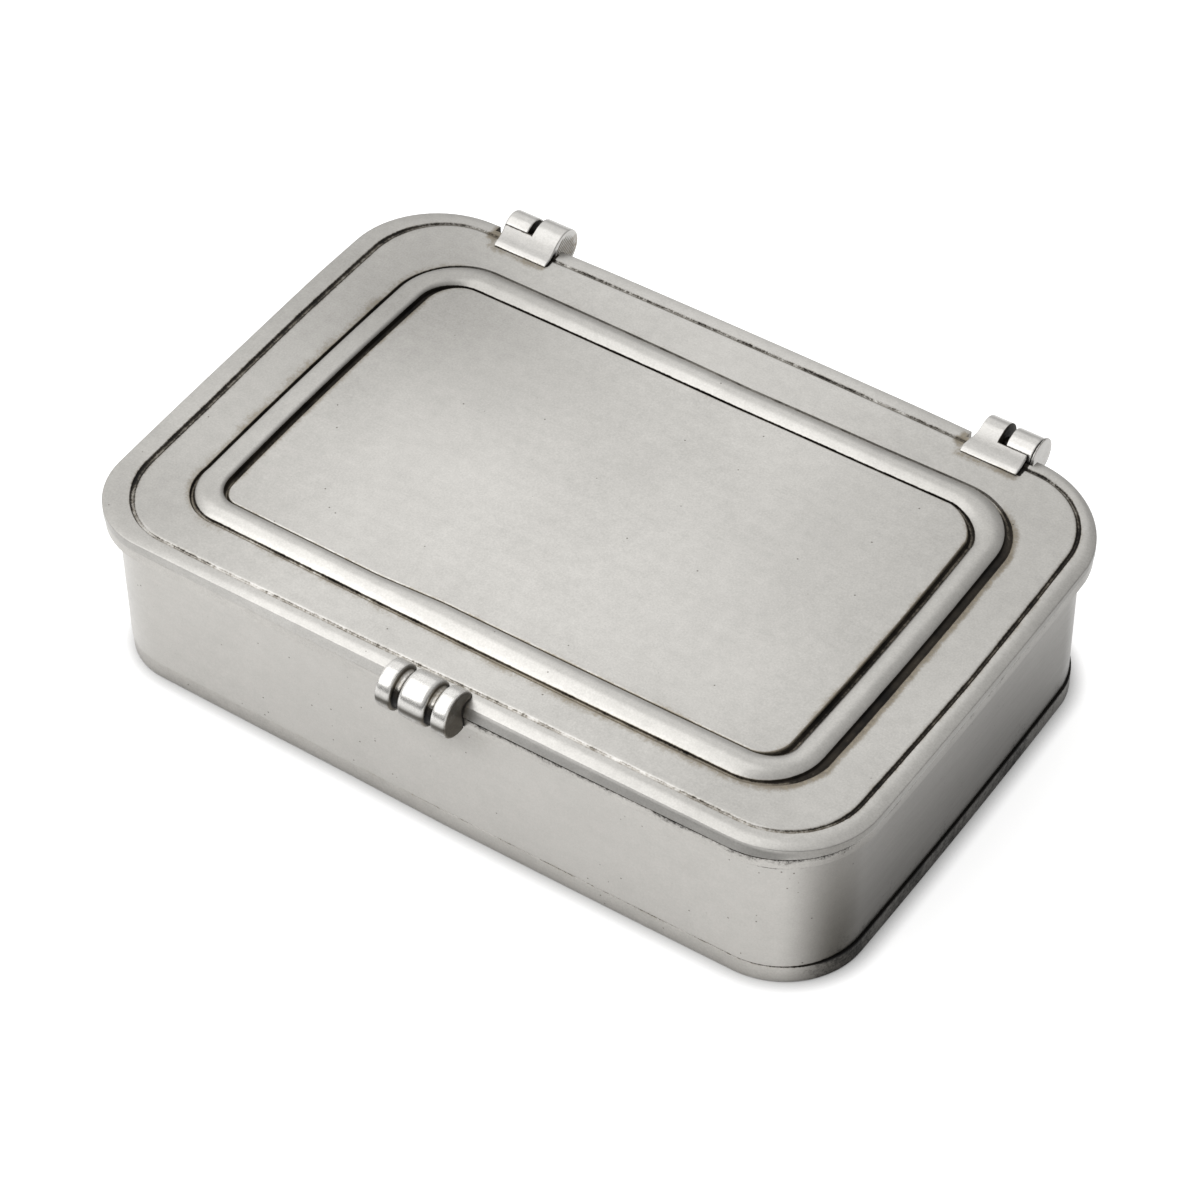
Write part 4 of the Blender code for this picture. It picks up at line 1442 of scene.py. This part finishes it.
    def knuckle(self) -> Piece:
        """Body knuckle with the leg that runs down to the back wall."""
        inner, outer, low, _ = self._box("hinge_knuckle")
        rim_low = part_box("mouth_rim")[0].z
        radius = self.axle.barrel * self.knuckle_share
        pass_y = self.plan.half_width + self.wall_pass
        meet = -math.degrees(math.acos((pass_y - self.axle.y) / radius))
        meet_y, meet_z = self._on_barrel(self.knuckle_foot, radius)
        bend = self.axle.barrel * 0.6
        outer_y = low.y + self.leg
        profile = [(low.y, low.z), (low.y, rim_low), (low.y + self.leg / 2, rim_low + 1.15 * MM)]
        profile += [self._on_barrel(turn, radius)
                    for turn in np.linspace(meet, self.knuckle_foot - 360.0, 76)]
        profile += self._bezier([
            (meet_y, meet_z), (meet_y - bend, meet_z - bend * 0.577), (outer_y, rim_low),
            (outer_y, rim_low - self.leg * 1.6),
        ])[1:]
        end = outer + self.knuckle_extra
        piece = self._cast("knuckle_" + self.side.word, profile + [(outer_y, low.z)],
                           (inner, end), ((self.bore, inner - 2 * MM, outer + 2 * MM),),
                           self.hand.knuckle_passes)
        places, normals = read_points(piece)
        depth = np.abs(places[:, 0])
        ends = step(depth, inner + 0.3 * MM, inner) + 0.8 * step(depth, end - 0.12 * MM, end)
        low_part = step(places[:, 2], rim_low + 0.5 * MM, rim_low - 4 * MM)
        # Painted shade: dark at the knuckle's ends next to the other barrels, on the low leg and
        # on downward faces.
        write_wear_and_shade(piece, grime=0.85 * ends, soil=0.6 * ends + 0.35 * low_part,
                   tarnish=0.05 + 0.5 * step(-normals[:, 2], -0.3, 0.5))
        return piece

    def pin(self, material: Metal) -> Piece:
        """Pin: head at the outer end, shaft through the knuckles."""
        inner, outer, low, high = self._box("hinge_pin")
        head = (high.z - low.z) / 2 * self.hand.head_share
        soft, shaft = self.pin_soft, self.shaft
        neck = outer - self.head_thickness
        table = [(inner, 0.0), (inner + 0.02 * MM, shaft - soft), (inner + soft, shaft)]
        table += [(place, shaft) for place in np.linspace(inner + 1 * MM, neck - 0.02 * MM, 5)]
        table += [(neck, head - soft), (neck + 0.06 * MM, head)]
        table += [(outer - 1.2 * soft * (1.0 - math.sin(angle)) - 0.03 * MM,
                   head - soft * (1 - math.cos(angle)))
                  for angle in np.linspace(0.0, QUARTER_TURN * 0.9, 7)]
        table += [(outer - 0.012 * MM, head * 0.7), (outer - 0.006 * MM, head * 0.35),
                  (outer, 0.0)]
        piece = self.trees.turn_bar("pin_" + self.side.word, table, self.side.value,
                                    (self.axle.y, self.axle.z), self.axle.facets, material)
        places, normals = read_points(piece)
        x, y, z = places.T
        from_axis = np.hypot(y - self.axle.y, z - self.axle.z)
        # Painted shade: darker on downward faces and black in the gap under the head.
        write_wear_and_shade(
            piece, soil=0.25, tarnish=0.25 + 0.35 * step(-normals[:, 2], -0.1, 0.6),
            grime=0.9 * step(np.abs(x), neck + 0.12 * MM, neck)
            + 0.3 * step(from_axis, head * 0.9, head),
        )
        return piece

    def file_marks(self, material: Metal) -> Piece:
        """Slanting file marks on the closed end of the lid's knuckle."""
        name = "file_marks_" + self.side.word
        piece = stand(name, bpy.data.meshes.new(name))
        self.trees.run(piece, self.trees.marks, {
            "Count": 10, "Pitch": 0.6 * MM, "Breadth": 0.16 * MM, "Height": 0.09 * MM,
            "Radius": self.axle.barrel * self.hand.leaf_share * 0.86, "Material": material,
        })
        piece = settle(piece)
        turn = Matrix.Rotation(math.radians(self.file_turn), 4, "X")
        turn = turn @ Matrix.Rotation(QUARTER_TURN, 4, "Y")
        inner = self._box("hinge_leaf")[0]
        end = Matrix.Translation((self.side.value * inner, self.axle.y, self.axle.z))
        piece.data.transform(end @ turn)
        write_wear_and_shade(piece, grime=0.1, soil=0.75, tarnish=0.4)
        return piece


@dataclass
class ThumbPiece:
    """Turned bar of three rings and two necks on the lid's front edge."""

    plan: BoxPlan
    trees: SweepTrees
    ring_radius: float = 4.0 * MM
    edge_share: float = 0.90
    neck_radius: float = 2.9 * MM
    middle_ring: float = 4.9 * MM
    outer_ring: float = 2.85 * MM
    neck_width: float = 1.3 * MM
    ring_arch: Pair = (5.0, 0.5)
    neck_arch: Pair = (3.0, 0.6)
    ease: float = 0.02 * MM
    end_round: float = 0.12 * MM
    shift: float = 0.25 * MM
    seat_gap: float = 0.05 * MM
    facets: int = 160

    def table(self) -> list[Pair]:
        """List the bar's (x, radius) points from its left end to its right."""
        half = self.middle_ring / 2 + self.neck_width + self.outer_ring
        edge = self.ring_radius * self.edge_share
        ease = self.ease
        end = [(half, 0.0), (half - ease / 2, edge * 0.45), (half - ease, edge - self.end_round)]
        points = [(-place, radius) for place, radius in end]
        place = -half
        widths = (self.outer_ring, self.middle_ring, self.outer_ring)
        for index, width in enumerate(widths):
            for share in np.linspace(0.0, 1.0, 15):
                radius = edge + (self.ring_radius - edge) * arch(share, *self.ring_arch)
                points.append((place + 1.5 * ease + (width - 3 * ease) * share, radius))
            place += width
            if index < len(widths) - 1:
                for share in np.linspace(0.06, 0.94, 9):
                    depth = (edge - self.neck_radius) * arch(share, *self.neck_arch)
                    points.append((place + self.neck_width * share, edge - depth))
                place += self.neck_width
        return [(place + self.shift, radius) for place, radius in points + end[::-1]]

    def build(self, material: Metal) -> Piece:
        """Turn the bar and cut its seat to the lid."""
        low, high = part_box("thumb_piece")
        centre_y, centre_z = low.y + self.ring_radius, high.z - self.ring_radius
        piece = self.trees.turn_bar("thumb_bar", self.table(), 1, (centre_y, centre_z),
                                    self.facets, material)
        front = -(self.plan.half_width + self.plan.long_bow + self.seat_gap)
        top = self.plan.lid_top + self.plan.crown + self.seat_gap
        size = 30 * MM
        work = bmesh.new()
        bmesh.ops.create_cube(work, size=size)
        bmesh.ops.translate(work, verts=work.verts, vec=(0.0, front + size / 2, top - size / 2))
        cut_with(piece, mesh_of("thumb_seat", work))
        piece = settle(piece)
        places, normals = read_points(piece)
        _, y, z = places.T
        sideways = np.abs(normals[:, 0])
        edge = self.ring_radius * self.edge_share
        neck = step(np.hypot(y - centre_y, z - centre_z), edge - 0.1 * MM,
                    self.neck_radius + 0.3 * MM) * (sideways < 0.98)
        seat_line = step(z, top + 0.6 * MM, top) * (y > front - 0.3 * MM)
        lower = step(z, centre_z + 0.7 * MM, centre_z - 0.8 * MM)
        belt = np.exp(-(((z - centre_z - 0.1 * MM) / (0.75 * MM)) ** 2))
        deep = step(z, centre_z + 2.6 * MM, centre_z + 0.9 * MM)
        right_end = step(normals[:, 0], 0.7, 0.95)
        ring_side = (1.0 - neck) * step(sideways, 0.35, 0.8) * (1.0 - right_end)
        # Painted shade and reflection: darker lower halves and a dark belt round the rings'
        # middle, black in the lower necks, dark where the bar meets the lid, on the rings' sides
        # and on the right end face.
        write_wear_and_shade(
            piece,
            grime=0.25 * neck + 0.8 * seat_line + 0.9 * neck * deep
            + (0.2 + 0.5 * deep) * ring_side,
            soil=0.6 * neck + 0.9 * seat_line + 0.45 * lower + 0.4 * ring_side
            + 0.75 * right_end,
            tarnish=(0.85 * belt + 0.5 * lower) * (1.0 - right_end) + 0.8 * right_end
            + 0.2 * neck,
        )
        return piece


@dataclass(frozen=True)
class Lamp:
    """One oblong soft lamp that faces the box, its length along a direction."""

    name: str
    place: Triple
    width: float
    length: float
    level: float
    along: Triple = (0.0, 1.0, 0.2)

    def hang(self) -> None:
        """Hang the lamp; at level 1 its face looks white."""
        data = bpy.data.lights.new(self.name, "AREA")
        data.shape = "RECTANGLE"
        data.size = self.width
        data.size_y = self.length
        data.energy = self.level * self.width * self.length * math.pi
        piece = bpy.data.objects.new(self.name, data)
        where = Vector(self.place)
        away = where.normalized()
        along = Vector(self.along)
        along = (along - away * along.dot(away)).normalized()
        turn = Matrix((along.cross(away), along, away)).transposed().to_4x4()
        piece.matrix_world = Matrix.Translation(where) @ turn
        bpy.context.scene.collection.objects.link(piece)


@dataclass
class Studio:
    """Pale floor, soft lamps, plain surroundings and the camera."""

    camera_place: Triple = (0.266385, -0.389605, 0.494661)
    camera_aim: Triple = (0.001415, -0.003964, 0.016)
    camera_roll: float = math.radians(-0.697)
    lens: float = 125.408
    sensor: float = 36.0
    shift: Pair = (0.003624, -0.000167)
    clip: Pair = (0.01, 50.0)
    floor_half: float = 12.0
    floor_drop: float = 0.02 * MM
    floor_tone: float = 0.54
    floor_glow: float = 0.74
    contact_reach: float = 3.2 * MM
    world_colour: Four = (1.0, 0.995, 0.985, 1.0)
    lamps: tuple[Lamp, ...] = (
        Lamp("key_lamp", (-0.58, -0.09, 1.33), 1.15, 1.1, 1.15),
        Lamp("front_lamp", (-0.58, -0.95, 0.92), 1.15, 0.85, 1.8),
        Lamp("back_lamp", (-0.55, 0.95, 1.05), 0.9, 0.9, 0.5),
    )

    def camera(self) -> None:
        """Stand the camera at the viewing angle of the photograph."""
        data = bpy.data.cameras.new("camera")
        data.lens = self.lens
        data.sensor_width = self.sensor
        data.sensor_fit = "HORIZONTAL"
        data.shift_x, data.shift_y = self.shift
        data.clip_start, data.clip_end = self.clip
        view = bpy.data.objects.new("camera", data)
        place = Vector(self.camera_place)
        ahead = (Vector(self.camera_aim) - place).normalized()
        turn = ahead.to_track_quat("-Z", "Y").to_matrix().to_4x4()
        roll = Matrix.Rotation(self.camera_roll, 4, "Z")
        view.matrix_world = Matrix.Translation(place) @ turn @ roll
        bpy.context.scene.collection.objects.link(view)
        bpy.context.scene.camera = view

    def floor(self) -> None:
        """Lay a pale floor that keeps the box's shadow, darkest where the two meet."""
        half = self.floor_half
        mesh = bpy.data.meshes.new("floor")
        corners = [(sx * half, sy * half, 0.0) for sx, sy in ((-1, -1), (1, -1), (1, 1), (-1, 1))]
        mesh.from_pydata(corners, [], [(0, 1, 2, 3)])
        piece = stand("floor", mesh)
        piece.location.z = -self.floor_drop
        material, bench, shader = NodeBench.metal("pale_floor")
        rays = bench.put("ShaderNodeLightPath").outputs
        mirrored = bench.math("MAXIMUM", rays["Is Glossy Ray"], rays["Is Transmission Ray"])
        seen = bench.math("MAXIMUM", rays["Is Camera Ray"], mirrored)
        opening = bench.get("ShaderNodeAmbientOcclusion", {"Distance": self.contact_reach}, "AO",
                            samples=12)
        contact = bench.math("POWER", opening, 2.0)
        bench.fill(shader, {
            "Base Color": (self.floor_tone, self.floor_tone, self.floor_tone, 1.0),
            "Roughness": 0.9, "Specular IOR Level": 0.0,
            "Emission Color": (1.0, 1.0, 1.0, 1.0),
            "Emission Strength": bench.times(bench.times(seen, contact), self.floor_glow),
        })
        mesh.materials.append(material)

    def surroundings(self) -> None:
        """Give plain soft light from all round, weaker from the right and low in front."""
        world = bpy.data.worlds.new("surroundings")
        world.use_nodes = True
        bpy.context.scene.world = world
        bench = NodeBench(world.node_tree)
        direction = bench.get("ShaderNodeTexCoord", output="Generated")
        parts = bench.put("ShaderNodeSeparateXYZ", {0: direction}).outputs
        x, y, z = parts["X"], parts["Y"], parts["Z"]
        lean = bench.grow(y, -0.15, bench.grow(x, -0.6, bench.times(z, 0.65)))
        level = bench.grow(bench.ramp(lean, -0.9, 0.6), 0.68, 0.16)
        beside = bench.times(bench.ramp(x, -0.5, -0.8), bench.ramp(z, 0.0, 0.3))
        level = bench.grow(beside, 0.35, level)
        low_ahead = bench.times(bench.ramp(z, 0.38, 0.12), bench.ramp(y, -0.35, -0.8))
        bench.fill(world.node_tree.nodes["Background"], {
            "Strength": bench.times(level, bench.grow(low_ahead, -0.7, 1.0)),
            "Color": self.world_colour,
        })

    def build(self) -> None:
        """Set the whole studio up."""
        self.camera()
        self.floor()
        self.surroundings()
        for lamp in self.lamps:
            lamp.hang()
        bpy.context.scene.view_settings.view_transform = "Standard"


@dataclass
class LidStainsAndShade:
    """Soil left round the hinges and the thumb piece on the lid, and painted shadow under the
    hinge straps.
    """

    plan: BoxPlan
    depth: float = 2 * MM
    hinge_edge: float = 2 * MM
    thumb_half: float = 6.6 * MM

    def all(self) -> tuple[StainAndShade, ...]:
        """List the stains: before both leaves, beside each, painted shadow under the straps, by
        the thumb.
        """
        low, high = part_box("hinge_leaf_right")
        middle, half = (low.x + high.x) / 2, (high.x - low.x) / 2
        back = self.plan.half_width - self.hinge_edge
        front = -self.plan.half_width + 0.4 * MM
        rows = [
            (-middle, low.y, half, 0.3 * MM, 1.7 * MM, 0.62, "soil"),
            (middle, low.y, half, 0.3 * MM, 1.7 * MM, 0.62, "soil"),
            (-high.x - 0.8 * MM, back, 0.4 * MM, 1.2 * MM, 1.6 * MM, 1.0, "soil"),
            (low.x - 0.6 * MM, back - 0.2 * MM, 0.3 * MM, 1.0 * MM, 1.5 * MM, 0.8, "soil"),
            # Painted shadow under the two straps.
            (high.x - 1.3 * MM, low.y + 2.4 * MM, 1.9 * MM, 1.7 * MM, 0.5 * MM, 1.0, "grime"),
            (-low.x - 1.3 * MM, low.y + 2.4 * MM, 1.9 * MM, 1.7 * MM, 0.5 * MM, 1.0, "grime"),
            (0.3 * MM, front, self.thumb_half, 0.3 * MM, 1.3 * MM, 0.75, "soil"),
        ]
        return tuple(
            StainAndShade((x, y, self.plan.lid_top), (half_x, half_y, self.depth), reach, strength, layer)
            for x, y, half_x, half_y, reach, strength, layer in rows
        )


def finishes(plan: BoxPlan) -> dict[str, Metal]:
    """Build every finish and give the materials by name."""
    corner_pits = mm(62.6, -44, 26.5)
    bright = PewterFinish("bright_pewter", (0.51, 0.50, 0.482), 0.30, grain=Grain.ALONG,
                          line_depth=0.3, bump=0.14, pit_amount=-1.0)
    table = (
        PewterFinish("lid_pewter", roughness=0.34, grain=Grain.ALONG, line_depth=0.35,
                     pit_amount=0.005, stains_and_shade=LidStainsAndShade(plan).all()),
        PewterFinish("wall_pewter", (0.470, 0.457, 0.434), 0.32, 0.6, Grain.ROUND, 0.2,
                     pit_centre=corner_pits, pit_reach=6.5 * MM, pit_amount=0.03),
        PewterFinish("rim_pewter", (0.47, 0.456, 0.432), 0.3, grain=Grain.ROUND),
        PewterFinish("base_pewter", (0.44, 0.426, 0.402), 0.38, grain=Grain.ROUND,
                     pit_amount=0.012),
        bright,
        replace(bright, name="turned_pewter", colour=(0.60, 0.59, 0.57), roughness=0.26,
                grain=Grain.EVEN),
    )
    effects = SharedEffects()
    return {finish.name: finish.material(effects) for finish in table}


def dress(piece: Piece, material: Metal, body: str, slot: str, side: str = "",
          stands_for_node: bool = True) -> None:
    """Give a piece its finish, its body and the node that it stands for.

    Args:
        piece: the finished mesh.
        material: its finish.
        body: the body that it rides on.
        slot: its material slot, which is also its node's name without the side.
        side: the hinge's side, for a node that has one.
        stands_for_node: False for a detail added to another piece.
    """
    if not piece.data.materials:
        piece.data.materials.append(material)
    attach(piece, body)
    if stands_for_node:
        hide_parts(slot + "_" + side if side else slot)
    LOG.info("%s: %d faces", piece.name, len(piece.data.polygons))


def main() -> None:
    """Build every sub-assembly in order and report each piece."""
    logging.basicConfig(level=logging.INFO)
    plan, trees = BoxPlan(), SweepTrees()
    metals = finishes(plan)
    axis = Vector(frame["joints"][0]["pos_m"])
    pin_low, pin_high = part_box("hinge_pin_right")
    barrel = (pin_high.z - pin_low.z) / 2
    axle = Axle(axis.y, axis.z, barrel, barrel + 0.4 * MM)

    body = BodyShell(plan, trees, axle)
    for part, slot, finish in ((body.base, "base_plate", "base_pewter"),
                               (body.wall, "body_wall", "wall_pewter"),
                               (body.rim, "mouth_rim", "rim_pewter")):
        dress(part(metals[finish]), metals[finish], "box", slot)
    dress(Lid(plan, axle).build(), metals["lid_pewter"], "lid", "lid")
    bright, turned = metals["bright_pewter"], metals["turned_pewter"]
    hands = {
        Side.LEFT: HingeHand(0.0, 0.70, 70, 1.09, 0.55 * MM),
        Side.RIGHT: HingeHand(1.1 * MM, 1.0, 24, 1.0, 0.3 * MM),
    }
    for side, hand in hands.items():
        hinge = Hinge(side, plan, trees, axle, hand)
        dress(hinge.leaf(), bright, "lid", "hinge_leaf", side.word)
        dress(hinge.knuckle(), bright, "box", "hinge_knuckle", side.word)
        dress(hinge.pin(bright), bright, "box", "hinge_pin", side.word)
        if side is Side.LEFT:
            dress(hinge.file_marks(bright), bright, "lid", "hinge_leaf", stands_for_node=False)
    dress(ThumbPiece(plan, trees).build(turned), turned, "lid", "thumb_piece")
    Studio().build()


if __name__ == "__main__":
    main()
